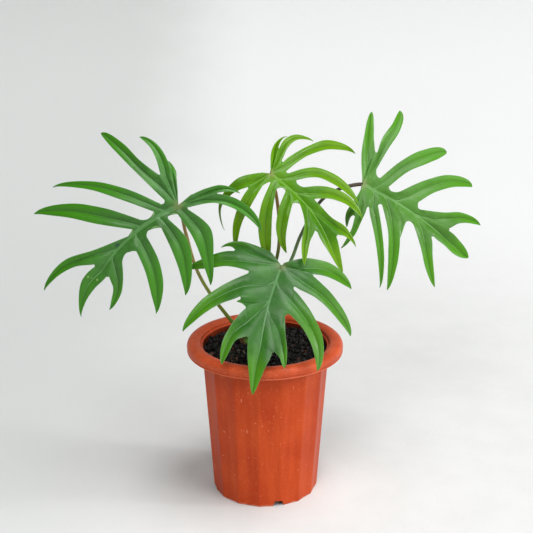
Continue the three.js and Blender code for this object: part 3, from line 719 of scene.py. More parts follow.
# In each leaf, keel is how steeply the flesh rises from the midrib, pillow is how full it is between the
# veins, rib is how wide the veins are, and marks are scars and a bruise: place, radius and kind, -1 for dark.
LEAVES = {
    "left": {
        "junction": (-82, -20, 303), "along": (-0.66, -0.31, -0.69), "up": (0.05, -0.93, 0.36),
        "length": 139, "bow": -16, "sag": 14, "arch": 24, "keel": 0.24, "pillow": 0.18, "rib": 2.6,
        "marks": [(106.5, -20.5, 1.5, 1), (105, -17.5, 0.9, 1),
                  (102.9, -12, 1.3, 1), (65.4, -19.1, 2.8, -1)],
        "end": lobe(94, [(94, -6), (109.5, -8.6), (126, -7)],
                    [(94, -23), (112.7, -22.8), (128, -14)], (140, -1), 0, 0.1),
        "lobes": [
            lobe(0, [(-11, -10), (-18.4, -17.7), (-24.4, -24.7)],
                 [(-14, -19.6), (-22, -31), (-25, -36)], (-27, -38), -14),
            lobe(0, [(-15, -21), (-26, -36), (-31.4, -54.5)],
                 [(-12, -33), (-19.5, -44.6), (-25, -58)], (-26, -72), 0, 0.4),
            lobe(3, [(-10.4, -32.7), (-9, -56), (-11, -81)],
                 [(4.3, -13.1), (2.6, -43), (0, -74)], (-5, -104), 0, 0.4),
            lobe(12, [(9, -13), (20, -48), (37.5, -80.6)],
                 [(19.1, -13.7), (31, -45), (44.7, -77.4)], (65, -105)),
            lobe(39, [(33, -18), (47, -51), (66.6, -81.5)],
                 [(45, -18), (62.4, -45.7), (78, -75)], (96, -102)),
            lobe(69, [(53, -17.1), (82.5, -32.1), (112, -49)],
                 [(94, -23), (107, -36), (125.6, -43.5)], (145, -45)),
            lobe(0, [(-15, 2), (-30, 9), (-43, 19)], [(-34, 20), (-39, 24), (-44, 29)], (-48, 36)),
            lobe(0, [(-34, 20), (-42, 37), (-44, 57)], [(-5, 8), (-25, 24), (-35, 48)], (-35, 74), -1),
            lobe(3, [(-4, 9), (-4.7, 36.6), (13.4, 56.4)],
                 [(6, 5), (12.8, 29.4), (23.6, 51.4)], (35.6, 72.3), -8),
            lobe(19, [(15, 1), (18, 28), (34.5, 48)],
                 [(26, 2), (35.1, 22.9), (45.8, 42.5)], (58.7, 60.4), -6),
            lobe(45, [(41, -3), (50.5, 20.4), (67.2, 40.4)],
                 [(58, -1), (66.5, 17), (78.5, 34.6)], (91, 51), -4, 0),
            lobe(76, [(74, -5), (86, 6.5), (99.5, 14.5)],
                 [(94, -6), (98, 4), (107, 10)], (117, 15), 0, 0.1),
        ],
    },
    "middle": {
        "junction": (6, 10, 327), "along": (0.64, -0.34, -0.69), "up": (0.25, -0.76, 0.6),
        "length": 117, "bow": 10, "sag": 14, "arch": 20, "keel": 0.2, "pillow": 0.15, "rib": 1.4, "marks": [],
        "end": lobe(78, [(86, 16), (96, 11), (107, 6)], [(70, 0), (85, -1), (101, -1)], (117, 0)),
        "lobes": [
            lobe(0, [(-5, 3), (-16.5, 14.5), (-23, 29)],
                 [(-16, 24), (-19.8, 30.4), (-21.8, 37.4)], (-22, 45), -6),
            lobe(0, [(-16, 24), (-20, 39), (-16, 53)], [(-3, 17), (-11, 33), (-12, 49)], (-2, 62)),
            lobe(3, [(-3, 17), (-1.7, 49.7), (5.6, 82.4)],
                 [(7, 14), (6.5, 43.4), (13.3, 74.7)], (29.6, 101.9), -8),
            lobe(11, [(10, 15), (21, 43), (45, 61)], [(20, 17), (31, 38.5), (51, 52)], (73, 60), -4),
            lobe(27, [(30, 19), (43, 40), (63, 54)], [(45, 20.5), (55, 35.5), (70, 46.5)], (87, 52)),
            lobe(45, [(51, 19.9), (68.6, 22.4), (86, 30)], [(86, 16), (90, 22), (97, 26)], (105, 27)),
            lobe(0, [(-5.5, -7.4), (-15.8, -29.5), (-10.5, -52)],
                 [(-2, -29), (-7, -41.5), (-4.8, -54.4)], (11.5, -57.8), -34),
            lobe(1, [(-2, -29), (5, -44), (16, -55)],
                 [(5, -16), (11.2, -31.7), (18.8, -46.8)], (33, -56), -50),
            lobe(4, [(7, -7), (19, -28), (37.9, -41.7)],
                 [(15.5, -7), (29.5, -22), (45.5, -32)], (63, -40), -42),
            lobe(18, [(21, 2.4), (32, -17.2), (47.5, -30)],
                 [(36, -3), (45, -15), (56, -25)], (67, -28), -22),
            lobe(49, [(37.4, 4.7), (56.4, -4.3), (71, -20)], [(70, 0), (74, -11), (82, -21)], (89, -30)),
        ],
    },
    "right": {
        "junction": (98, 50, 306), "along": (0.84, -0.11, -0.53), "up": (0.2, -0.84, 0.5),
        "length": 132, "bow": 5, "sag": 8, "arch": 12, "keel": 0.22, "pillow": 0.13, "rib": 1.8,
        "marks": [(49.5, 17.5, 1.1, 1), (26.3, -20.8, 1.0, 1)],
        "end": lobe(94, [(100, 12), (112, 10), (124, 7)],
                    [(88, -5), (103, -5), (118, -6)], (133, 1.5), 0, 0.2),
        "lobes": [
            lobe(0, [(-2, 1), (-15.9, 23.4), (-25, 48)],
                 [(-6.3, 36), (-14.2, 48.2), (-21.1, 61.3)], (-30, 73), 0, 0.45),
            lobe(0, [(-4, 37.5), (-6.9, 55.4), (-4.9, 76.4)],
                 [(4, 21), (4, 47), (5, 75.5)], (-4, 97), -6, 0.55),
            lobe(11, [(12, 16), (21, 43), (35, 68)], [(24, 13), (33, 38), (47, 60)], (58, 84), 0, 0.5),
            lobe(36, [(36, 15), (52, 40), (73, 63)],
                 [(58, 17), (67.3, 35.5), (82.7, 54.5)], (99.6, 68.6), 0, 0.5),
            lobe(64, [(64, 12), (85, 23), (104, 36)],
                 [(100, 12), (105, 23), (115, 31)], (127, 37.6), 0, 0.35),
            lobe(0, [(1, -7), (1, -20), (1, -33)], [(9, -34), (7, -36), (8, -39)], (10, -42), -14),
            lobe(1, [(9, -34), (13, -43), (15, -53)], [(16, -18), (18, -33), (20, -48)], (16, -63), -16),
            lobe(9, [(16, -18), (35, -37), (53, -56)], [(24, -11), (41, -31), (58, -52)], (70, -76), -10),
            lobe(26, [(27, -8), (46, -28), (62, -52)],
                 [(51, -12), (63, -32), (72.6, -52.5)], (77, -75), -6),
            lobe(37, [(53, -16), (56, -19), (58, -22)], [(57, -9), (58, -15), (59, -20)], (60, -26)),
            lobe(61, [(64.9, -6.4), (81.6, -20.5), (98, -36)],
                 [(88, -5), (97, -20), (107, -33)], (117, -46)),
        ],
    },
    "front": {
        "junction": (16, -22, 244), "along": (-0.21, -0.72, -0.66), "up": (0.05, -0.68, 0.73),
        "length": 125, "bow": -4, "sag": 16, "arch": 14, "keel": 0.06, "pillow": 0.12, "rib": 1.3,
        "marks": [(13.7, -31.8, 1.9, 1)],
        "end": lobe(82, [(86, 11), (99, 7), (112, 4)], [(77, -16), (94, -12), (109, -7)], (125, 0)),
        "lobes": [
            lobe(0, [(-11, -12), (-16, -28), (-17.5, -47)],
                 [(-7, -48), (-10, -51.5), (-10.5, -56)], (-9.5, -61), 0, 0.6),
            lobe(0, [(-7, -48), (-2, -63), (6, -77)], [(13, -30), (11, -50), (15, -70)], (16, -90), -6),
            lobe(17, [(16, -30), (33, -52), (54, -70)],
                 [(41, -31), (50.7, -48.8), (64.7, -63.8)], (80.5, -77.5)),
            lobe(37, [(41, -31), (42, -32), (43, -33)], [(49, -24), (47, -27), (46, -29)], (45, -34)),
            lobe(40, [(49, -24), (67, -33), (86, -38)], [(77, -16), (82, -26), (94, -30)], (105, -34)),
            lobe(0, [(-3, 2), (-14, 23), (-15, 49)], [(2, 31), (0, 44), (1, 57)], (2, 70), -6),
            lobe(3, [(4, 32), (16, 52), (32, 69)], [(20, 16), (25, 39), (37, 59)], (52, 78)),
            lobe(19, [(21, 16), (40, 37), (64, 54)], [(48, 19), (59, 34), (74.9, 46.7)], (92, 54)),
            lobe(46, [(51, 14), (67, 18), (82, 23)], [(86, 11), (89, 17), (93, 20)], (97, 24)),
        ],
    },
}
print("lobes:", {name: len(leaf["lobes"]) + 1 for name, leaf in LEAVES.items()})

# %% [markdown]
# A lobe's two edges pass through three points each and meet at its tip. Straight lines between them would
# look like cut paper. A smooth line keeps its bend up to the tip, a blunt lobe stays wide for longer, the
# edges give way beside a notch so that it is round, and the last stretch turns in to a small hook.

# %% Blades: how a lobe runs
NOTCH_R = 1.4
NOTCH_LENGTH = 7
HOOK_SHARE = 0.026
FULL_HOOK_BEND = 0.12


def spline_point(points, share):
    """The point at a share of a smooth line through the points, which keeps its bend up to its end."""
    place = share * (len(points) - 1)
    first = min(int(place), len(points) - 2)
    t = place - first
    points = [np.array(point, float) for point in points]
    turned = complex(*(points[-1] - points[-2])) ** 2 / complex(*(points[-2] - points[-3]))
    reach = math.dist(points[-1], points[-2]) / abs(turned)
    points.append(points[-1] + np.array((turned.real, turned.imag)) * reach)
    before, here, after, beyond = (points[max(first + step, 0)] for step in (-1, 0, 1, 2))
    leave = (after - before) / 2
    arrive = (beyond - here) / 2
    bend = 2 * here - 2 * after + leave + arrive
    return ((bend * t + 3 * (after - here) - 2 * leave - arrive) * t + leave) * t + here


def last_third(share):
    return max(share * 3 - 2, 0)


def fullness(share, blunt):
    """How much wider than straight-sided a lobe is, where its end is blunt and not drawn out to a point."""
    return (1 - last_third(share)) ** -blunt if share < 1 else 1.0


def notch_room(away):
    """How far an edge gives way beside a notch, at a distance along it, so that the notch is round."""
    rounded = math.sqrt(1 - (1 - min(away / NOTCH_R, 1)) ** 2)
    return NOTCH_R * rounded * max(0, 1 - away / (NOTCH_LENGTH * NOTCH_R)) ** 2


def hook(share, left_edge, right_edge):
    """How far a lobe leans outwards before its end turns in, as the little hooked tips do."""
    before, here, end = (complex(*(spline_point(left_edge, at) + spline_point(right_edge, at))) / 2
                         for at in (0.6, 0.8, 1))
    last_step = end - here
    bend = (last_step / (here - before)).imag / abs(last_step / (here - before))
    inward = last_step * 1j / abs(last_step) * max(-1, min(1, bend / FULL_HOOK_BEND))
    length = abs(end - complex(*left_edge[0]))
    past = last_third(share)
    shift = inward * HOOK_SHARE * length * (past ** 6 - past ** 2)
    return np.array((shift.real, shift.imag))


def halfway(item):
    """The middle of a lobe's mouth."""
    return [(a + b) / 2 for a, b in zip(item["near"][0], item["far"][0])]


def mouth(item):
    """How wide a lobe is where it leaves the web."""
    return math.dist(item["near"][0], item["far"][0])


lobe_mouths = [mouth(item) for leaf in LEAVES.values() for item in leaf["lobes"]]
print(f"lobes are {min(lobe_mouths):.0f} to {max(lobe_mouths):.0f} mm wide at the web")

# %% [markdown]
# From those lines comes a coarse cage. The midrib is a row of points, each lobe is a strip with its vein
# down the middle, and the web between joins the strips to the midrib. A blade could be sculpted instead,
# but a cage keeps every vein on an edge of the mesh, so the fine surface can be creased exactly there.

# %% Blades: the coarse cage
SAME_POINT = 1.2
STATION_SPACING = 4
NOTCH_FROM = 2.5
WIDE_NOTCH_FROM = 6
NOTCH_REACH = 0.42
FOLD_UP = 0.14
FOLD_DOWN = 0.1
FOLD_WIDTH = 18
LOBE_ROWS = (0.022, 0.05, 0.12, 0.2, 0.3, 0.4, 0.5, 0.6, 0.7, 0.79, 0.87, 0.93, 0.965, 0.988)
MIDRIB_SIZE = 1.0
MIDRIB_TAPER = 0.6
LOBE_VEIN_SIZE = 0.46
TIP_VEIN_SIZE = 0.1
EDGE_SIZE = 0.3
FULL_VEIN_LENGTH = 45
KNEE_FROM = 9
KNEE_SHARE = 0.28
KNEE_FORWARD = 0.1
BORDER_ROUNDS = 5


def bowed(leaf, share):
    """How far the midrib lies to one side at a share of its length."""
    return 4 * leaf["bow"] * share * (1 - share)


def vein_low(item):
    """How far the vein lies under the plane where a lobe leaves the web."""
    return -FOLD_DOWN * min(mouth(item), FOLD_WIDTH) / 2


class Cage:
    """The coarse mesh of one blade, with what each point carries for the finish."""

    def __init__(self, leaf):
        self.leaf = leaf
        self.points = []
        self.carried = []
        self.faces = []
        self.veins = []
        self.tips = []
        self.corners = []
        self.shared = {}
        self.strips = []
        self.grow()

    def add(self, x, y, rise, size, way, ripe=0.0):
        """A point, with the size of its vein, its way from the stalk and how near a tip it is."""
        self.points.append((float(x), float(y), float(rise)))
        self.carried.append((size, way, ripe))
        return len(self.points) - 1

    def add_corner(self, at, way, width):
        """The end of a notch. Two notches that meet share it."""
        for i in self.corners:
            if math.hypot(self.points[i][0] - at[0], self.points[i][1] - at[1]) < SAME_POINT:
                self.shared[i] += 1
                return i
        self.corners.append(self.add(*at, FOLD_UP * min(width, FOLD_WIDTH) / 2, EDGE_SIZE, way))
        self.shared[self.corners[-1]] = 1
        return self.corners[-1]

    def notch_points(self, near, near_edge, corner, far_edge):
        """The rounded bottom of a notch, which runs on from the edges of both lobes."""
        start, end = (np.array(self.points[i][:2]) for i in (near, corner))
        wide = np.linalg.norm(end - start)
        if near == corner or wide < NOTCH_FROM:
            return []
        pulls = []
        for at, edge in ((start, near_edge), (end, far_edge)):
            inward = np.subtract(edge[0], edge[1])
            pulls.append(at + inward / np.linalg.norm(inward) * wide * NOTCH_REACH)
        way = (self.carried[near][1] + self.carried[corner][1]) / 2
        rise = (self.points[near][2] + self.points[corner][2]) / 2
        shares = (0.25, 0.5, 0.75) if wide > WIDE_NOTCH_FROM else (0.5,)
        ids = []
        for t in shares:
            s = 1 - t
            x, y = s ** 3 * start + 3 * s * s * t * pulls[0] + 3 * s * t * t * pulls[1] + t ** 3 * end
            ids.append(self.add(x, y, rise, EDGE_SIZE, way))
        return ids

    def knee(self, root, heart):
        """The point where a long vein bends away from the midrib, which it leaves at a slant."""
        (x0, y0, _), (x1, y1, rise) = self.points[root], self.points[heart]
        if math.hypot(x1 - x0, y1 - y0) < KNEE_FROM:
            return []
        size, way, _ = self.carried[heart]
        forward = KNEE_FORWARD * abs(y1 - y0) if x1 > x0 > 0 else 0
        way = self.carried[root][1] * (1 - KNEE_SHARE) + way * KNEE_SHARE
        x = x0 + KNEE_SHARE * (x1 - x0) + forward
        y = y0 + KNEE_SHARE * (y1 - y0)
        return [self.add(x, y, KNEE_SHARE * rise, size, way)]

    def add_face(self, side, ids):
        ring = [a for a, b in zip(ids, ids[1:] + ids[:1]) if a != b]
        if len(ring) > 2:
            self.faces.append(ring if side > 0 else ring[::-1])

    def strip(self, item, row, left_edge, right_edge):
        """One lobe, row by row from its first three points to its tip."""
        notches = [row[k] if self.shared[row[k]] > 1 else None for k in (0, 2)]
        left_edge = [*left_edge, item["tip"]]
        right_edge = [*right_edge, item["tip"]]
        last = row
        start = np.array(self.points[row[1]][:2])
        base, first_way = self.carried[row[1]][:2]
        for share in (*LOBE_ROWS, 1):
            left = spline_point(left_edge, share)
            right = spline_point(right_edge, share)
            middle = (left + right) / 2
            full = fullness(share, item["blunt"])
            vein = middle + hook(share, left_edge, right_edge)
            outer = [vein + (side - middle) * full for side in (left, right)]
            for point, notch in zip(outer, notches):
                if notch is not None:
                    away = math.dist(point, self.points[notch][:2])
                    point += (vein - point) / np.linalg.norm(vein - point) * notch_room(away)
            rise = item["lift"] * share ** 2
            width = min(np.linalg.norm(outer[0] - outer[1]), FOLD_WIDTH) / 2
            size = TIP_VEIN_SIZE + (base - TIP_VEIN_SIZE) * (1 - share)
            way = first_way + np.linalg.norm(vein - start)
            if share == 1:
                break
            rises = (rise + FOLD_UP * width, rise - FOLD_DOWN * width, rise + FOLD_UP * width)
            places = (outer[0], vein, outer[1])
            row = [self.add(*at, high, size, way, share) for at, high in zip(places, rises)]
            self.faces.append([last[0], last[1], row[1], row[0]])
            self.faces.append([last[1], last[2], row[2], row[1]])
            self.veins.append((last[1], row[1]))
            last = row
        tip = self.add(*item["tip"], item["lift"], size, way, 1)
        self.faces += [[last[0], last[1], tip], [last[1], last[2], tip]]
        self.veins.append((last[1], tip))
        self.tips.append(tip)

    def gap_after(self, items, i):
        """The place on the midrib halfway between a lobe and the next one."""
        following = items[i + 1] if i + 1 < len(items) else self.leaf["end"]
        return (items[i]["root"] + following["root"]) / 2

    def lay_midrib(self, sides):
        """The midrib's points: at the lobes' roots, halfway between them, and where the end lobe starts."""
        end = self.leaf["end"]
        length = self.leaf["length"]
        marks = sorted(mark for items in sides for i, item in enumerate(items)
                       for mark in (item["root"], self.gap_after(items, i)))
        stations = [0]
        for mark in marks:
            if mark - stations[-1] > STATION_SPACING and end["root"] - mark > STATION_SPACING:
                stations.append(mark)
        spots = [(x, bowed(self.leaf, x / length), 0, x) for x in stations]
        spots.append((*halfway(end), vein_low(end), end["root"]))
        midrib = [self.add(x, y, rise, MIDRIB_SIZE * (1 - MIDRIB_TAPER * way / length), way)
                  for x, y, rise, way in spots]
        self.veins += list(zip(midrib, midrib[1:]))
        return stations, midrib

    def join_side(self, side, items, stations, midrib, last):
        """The web on one side of the midrib, and the first row of points of each lobe there."""
        def nearest(x):
            return min(range(len(stations)), key=lambda i: abs(stations[i] - x))

        corner, last_edge, start = midrib[0], None, 0
        for i, item in enumerate(items):
            root = nearest(item["root"])
            gap = nearest(self.gap_after(items, i))
            middle = halfway(item)
            way = stations[root] + math.dist(middle, self.points[midrib[root]][:2])
            near = self.add_corner(item["near"][0], way, mouth(item))
            far = self.add_corner(item["far"][0], way, mouth(item))
            thick = LOBE_VEIN_SIZE * min(1, math.dist(middle, item["tip"]) / FULL_VEIN_LENGTH)
            heart = self.add(*middle, vein_low(item), thick, way)
            bottom = self.notch_points(near, item["near"], corner, last_edge) if last_edge else []
            bent = self.knee(midrib[root], heart)
            self.add_face(side, [*midrib[start:root + 1], *bent, heart, near, *bottom, corner])
            self.add_face(side, [*midrib[root:gap + 1], far, heart, *bent])
            chain = [midrib[root], *bent, heart]
            self.veins += list(zip(chain, chain[1:]))
            row, edges = [near, heart, far], [item["near"], item["far"]]
            self.strips.append((item, row[::side], *edges[::side]))
            corner, last_edge, start = far, item["far"], gap
        end_edge = self.leaf["end"]["near" if side > 0 else "far"]
        bottom = self.notch_points(last, end_edge, corner, last_edge)
        self.add_face(side, [*midrib[start:], last, *bottom, corner])

    def grow(self):
        """Midrib first, then the web on each side, then every lobe up to its tip."""
        end = self.leaf["end"]
        sides = [[item for item in self.leaf["lobes"] if item["tip"][1] * side > 0] for side in (1, -1)]
        stations, midrib = self.lay_midrib(sides)
        near, far = (self.add_corner(end[edge][0], end["root"], mouth(end)) for edge in ("near", "far"))
        for side, items, last in zip((1, -1), sides, (near, far)):
            self.join_side(side, items, stations, midrib, last)
        self.strips.append((end, [near, midrib[-1], far], end["near"], end["far"]))
        for parts in self.strips:
            self.strip(*parts)
        self.hold_border()

    def hold_border(self):
        """Moves the border's points out, so that the rounded surface passes through where they were."""
        sides = {}
        for ring in self.faces:
            for pair in zip(ring, ring[1:] + ring[:1]):
                sides[pair] = True
        border = [pair for pair in sides if pair[::-1] not in sides]
        following = dict(border)
        leading = {b: a for a, b in border}
        held = {0, *self.tips}
        wanted = {i: np.array(self.points[i]) for i in following if i not in held}
        for _ in range(BORDER_ROUNDS):
            at = {i: np.array(self.points[i]) for i in following}
            for i, target in wanted.items():
                rounded = (at[leading[i]] + 4 * at[i] + at[following[i]]) / 6
                self.points[i] = tuple(at[i] + target - rounded)


cages = {name: Cage(leaf) for name, leaf in LEAVES.items()}
print("cage faces:", {name: len(cage.faces) for name, cage in cages.items()})

# %% [markdown]
# A Subdivision Surface modifier rounds the cage, and its vein edges are marked as seams, so that they can be
# found again in the fine mesh. Each fine point then learns how far it is from the nearest vein and from the
# nearest edge of the blade. Two trees of sample points answer that quickly, and they measure the rise too,
# so that lobes that pass over each other don't borrow each other's veins.

# %% Blades: the fine surface and its distances
SUBDIVISIONS = 3
SAMPLES_PER_EDGE = 4
CARRIED = ("size", "way", "ripe")


def fine_surface(cage):
    """The subdivided cage: its points, quads, vein edges, border edges and carried values."""
    mesh = bpy.data.meshes.new("cage")
    mesh.from_pydata(cage.points, [], cage.faces)
    seams = {tuple(sorted(pair)) for pair in cage.veins}
    on_vein = [tuple(sorted(edge.vertices)) in seams for edge in mesh.edges]
    mesh.edges.foreach_set("use_seam", on_vein)
    creases = mesh.attributes.new("crease_edge", "FLOAT", "EDGE")
    creases.data.foreach_set("value", np.array(on_vein, np.float32))
    for name, values in zip(CARRIED, zip(*cage.carried)):
        add_values(mesh, name, values)
    sharp_points = np.zeros(len(cage.points))
    sharp_points[cage.tips] = 1
    add_values(mesh, "crease_vert", sharp_points)
    piece = add_object("cage", mesh)
    piece.modifiers.new("smooth", "SUBSURF").levels = SUBDIVISIONS
    fine = modified(piece)
    bpy.data.objects.remove(piece)

    def read(items, label, width=1, kind=int):
        numbers = np.empty(width * len(items), kind)
        items.foreach_get(label, numbers)
        return numbers

    points = read(fine.vertices, "co", 3, float).reshape(-1, 3)
    edges = read(fine.edges, "vertices", 2).reshape(-1, 2)
    seam = read(fine.edges, "use_seam", kind=bool)
    corners = read(fine.loops, "vertex_index").reshape(-1, 4)
    uses = np.bincount(read(fine.loops, "edge_index"), minlength=len(edges))
    values = {name: read(fine.attributes[name].data, "value", kind=np.float32) for name in CARRIED}
    return points, corners, edges, edges[seam], edges[uses == 1], values


def nearest_on(points, edges, values):
    """Distance from every point to the nearest of some edges, and the value carried there."""
    tree = kdtree.KDTree(len(edges) * SAMPLES_PER_EDGE)
    carried = []
    for a, b in edges:
        for step in range(SAMPLES_PER_EDGE):
            share = step / SAMPLES_PER_EDGE
            tree.insert(points[a] * (1 - share) + points[b] * share, len(carried))
            carried.append(values[a] * (1 - share) + values[b] * share)
    tree.balance()
    found = [tree.find(point) for point in points]
    return np.array([hit[2] for hit in found]), np.array([carried[hit[1]] for hit in found])


def smoothed(values, edges, rounds, held):
    """Values averaged with their neighbours a few times, while the held points stay as they are."""
    count = len(values)
    degree = np.bincount(edges.ravel(), minlength=count)
    kept = values[held]
    for _ in range(rounds):
        total = np.bincount(edges[:, 0], values[edges[:, 1]], count)
        total += np.bincount(edges[:, 1], values[edges[:, 0]], count)
        values = (values + total / degree) / 2
        values[held] = kept
    return values


fine = {name: fine_surface(cage) for name, cage in cages.items()}
print("fine points:", {name: len(parts[0]) for name, parts in fine.items()})

# %% [markdown]
# Now the relief. The midvein of a lobe lies in a crisp groove, and the flesh on each side swells into a
# low pillow that turns down again at the edge, so that one half of a lobe catches the light while the
# other is in shade. The flesh also rises from the midrib as from a keel, and the blade ripples a little,
# more towards its edges. Then the surface is moved from its own plane to the plant, and given its
# thickness, with the veins standing proud underneath.

# %% Blades: relief, thickness and place
PILLOW_WIDTH = 10
WEB_FROM = 12
WEB_WIDTH = 12
WEB_FLATNESS = 0.65
KEEL_WIDTH = 14
KEEL_FROM = -5
KEEL_LENGTH = 15
PILLOW_ROUNDS = 14
VEIN_HALF_WIDTH = 0.28
GROOVE_SHARE = 0.7
RIB_RISE = 0.12
RIPPLE = 1.1
RIPPLE_LENGTH = 34
STILL_R = 30
EDGE_RIPPLE = 0.7
EDGE_RIPPLE_LENGTH = 15
RIPPLE_SEED_STEP = 3.7
BLADE_THICKNESS = 0.55
EDGE_SHARE = 0.45
EDGE_BEVEL = 1.5
RIDGE_DEPTH = 1.25
RIDGE_WIDTH = 1.3
RIDGE_LEAST = 0.25
KNOT_R = 4.5


def keel_drop(leaf, x):
    """How far the midrib lies under the plane of the lobes."""
    return -leaf["keel"] * KEEL_WIDTH * np.clip((x - KEEL_FROM) / KEEL_LENGTH, 0, 1)


def leaf_axes(leaf):
    """The blade's own x, y and z directions on the plant."""
    up = Vector(leaf["up"]).normalized()
    across = up.cross(Vector(leaf["along"])).normalized()
    return np.array([across.cross(up), across, up])


def surface_normals(points, faces):
    corner = points[faces]
    facing = np.cross(corner[:, 2] - corner[:, 0], corner[:, 3] - corner[:, 1])
    normals = np.zeros_like(points)
    for k in range(4):
        np.add.at(normals, faces[:, k], facing)
    return normals / np.linalg.norm(normals, axis=1)[:, None]


def ripples(points, length, seed):
    return np.array([noise.noise(Vector((x / length, y / length, seed))) for x, y, _ in points])


def closed_sheet(top, under, faces):
    """A surface, its other side turned over, and a wall along the border."""
    count = len(top)
    sides = {pair: True for face in faces for pair in zip(face, face[1:] + face[:1])}
    walls = [(b, a, a + count, b + count) for a, b in sides if (b, a) not in sides]
    turned = [[i + count for i in face[::-1]] for face in faces]
    return np.vstack((top, under)), [*faces, *turned, *walls]


def blade_mesh(name, leaf, seed):
    flat, faces, edges, veins, border, values = fine[name]
    vein_away, vein_size = nearest_on(flat, veins, values["size"])
    edge_away, _ = nearest_on(flat, border, values["size"])
    on_vein = np.unique(veins)
    vein_away[on_vein] = 0
    band = VEIN_HALF_WIDTH + leaf["rib"] * vein_size ** 2
    beside = (vein_away - GROOVE_SHARE * band).clip(0)
    width = beside + edge_away
    share = beside / width.clip(0.01)
    flatter = 1 - WEB_FLATNESS * ((width - WEB_FROM) / WEB_WIDTH).clip(0, 1)
    pillow = leaf["pillow"] * np.minimum(width, PILLOW_WIDTH) * np.sin(math.pi * share) * flatter
    pillow = smoothed(pillow, edges, PILLOW_ROUNDS, on_vein)
    rib = RIB_RISE * band * (1 - (vein_away / band) ** 2).clip(0)
    x, y = flat[:, 0], flat[:, 1]
    droop = -leaf["sag"] * (x.clip(0) / 100) ** 2 - leaf["arch"] * (y / 100) ** 2
    along = (x / leaf["length"]).clip(0, 1)
    aside = np.abs(y - bowed(leaf, along))
    droop += keel_drop(leaf, x) * (1 - np.tanh(aside / KEEL_WIDTH))
    wave = RIPPLE * ripples(flat, RIPPLE_LENGTH, seed) * np.minimum(np.hypot(x, y) / STILL_R, 1)
    wave += EDGE_RIPPLE * ripples(flat, EDGE_RIPPLE_LENGTH, seed + 9) * share ** 2
    shaped = np.column_stack((x, y, flat[:, 2] + droop + pillow + rib + wave))
    placed = shaped @ leaf_axes(leaf) + np.array(leaf["junction"])

    normals = surface_normals(placed, faces)
    ridge_width = RIDGE_WIDTH * vein_size + RIDGE_LEAST
    ridge = RIDGE_DEPTH * vein_size * np.exp(-(vein_away / ridge_width) ** 2)
    half = BLADE_THICKNESS / 2 * np.minimum(1, EDGE_SHARE + edge_away / EDGE_BEVEL)
    top = placed + normals * half[:, None]
    under = placed - normals * (half + ridge)[:, None]
    mesh = make_mesh(f"blade_{name}", *closed_sheet(top, under, faces.tolist()))
    both = {"vein": vein_away, "band": band, "edge": edge_away, "way": values["way"], "ripe": values["ripe"]}
    both["knot"] = np.exp(-(np.hypot(x, y) / KNOT_R) ** 2)
    both["mark"] = np.zeros(len(placed))
    for mark_x, mark_y, radius, kind in leaf["marks"]:
        both["mark"] += kind * np.exp(-(np.hypot(x - mark_x, y - mark_y) / radius) ** 2)
    for label, numbers in both.items():
        add_values(mesh, label, np.concatenate((numbers, numbers)))
    add_values(mesh, "under", np.repeat((0, 1), len(placed)))
    return mesh


blade_meshes = {}
for number, (name, leaf) in enumerate(LEAVES.items()):
    blade_meshes[name] = blade_mesh(name, leaf, number * RIPPLE_SEED_STEP)
print("blade faces:", {name: len(mesh.polygons) for name, mesh in blade_meshes.items()})

# %% [markdown]
# All four leaves have the same finish in their own green: the older front leaf is a deep blue green, the
# youngest one in the middle a bright yellow green. A waxy skin, which is the shader's coat, gives them a
# soft sheen. The veins are paler than the flesh, the tips turn yellow green, the very edge is a thin pale
# line, and the underside is paler and dull. Fine side veins run out from each vein at a slant, as a ripple
# in the skin with a trace of the vein's colour.

# %% Blades: the living green
LEAF_LOOKS = {
    "left": {
        "slot": "leaf_medium", "gloss": 0.16, "wax": 0.26,
        "flesh": colour(60, 110, 46), "deep": colour(40, 84, 22),
        "vein": colour(94, 140, 84), "tip": colour(52, 116, 0),
    },
    "middle": {
        "slot": "leaf_yellow_green", "gloss": 0.06, "wax": 0.32,
        "flesh": colour(72, 122, 0), "deep": colour(50, 100, 0),
        "vein": colour(104, 148, 52), "tip": colour(88, 130, 0),
    },
    "right": {
        "slot": "leaf_fresh", "gloss": 0.14, "wax": 0.2,
        "flesh": colour(76, 124, 48), "deep": colour(54, 102, 20),
        "vein": colour(102, 146, 84), "tip": colour(64, 124, 0),
    },
    "front": {
        "slot": "leaf_deep", "gloss": 0.18, "wax": 0.27,
        "flesh": colour(47, 101, 30), "deep": colour(29, 77, 11),
        "vein": colour(88, 136, 80), "tip": colour(62, 118, 0),
    },
}
LEAF_KNOT = colour(112, 104, 66)
LEAF_SCAR = colour(150, 178, 104)
LEAF_BRUISE = colour(34, 62, 52)
LEAF_UNDERSIDE = colour(116, 152, 96)
LEAF_VALUES = ("vein", "band", "edge", "way", "under", "ripe", "knot", "mark")
WAX_ROUGHNESS = 0.26
SIDE_VEIN_SPACING = 5.2
SIDE_VEIN_SLANT = 1.1


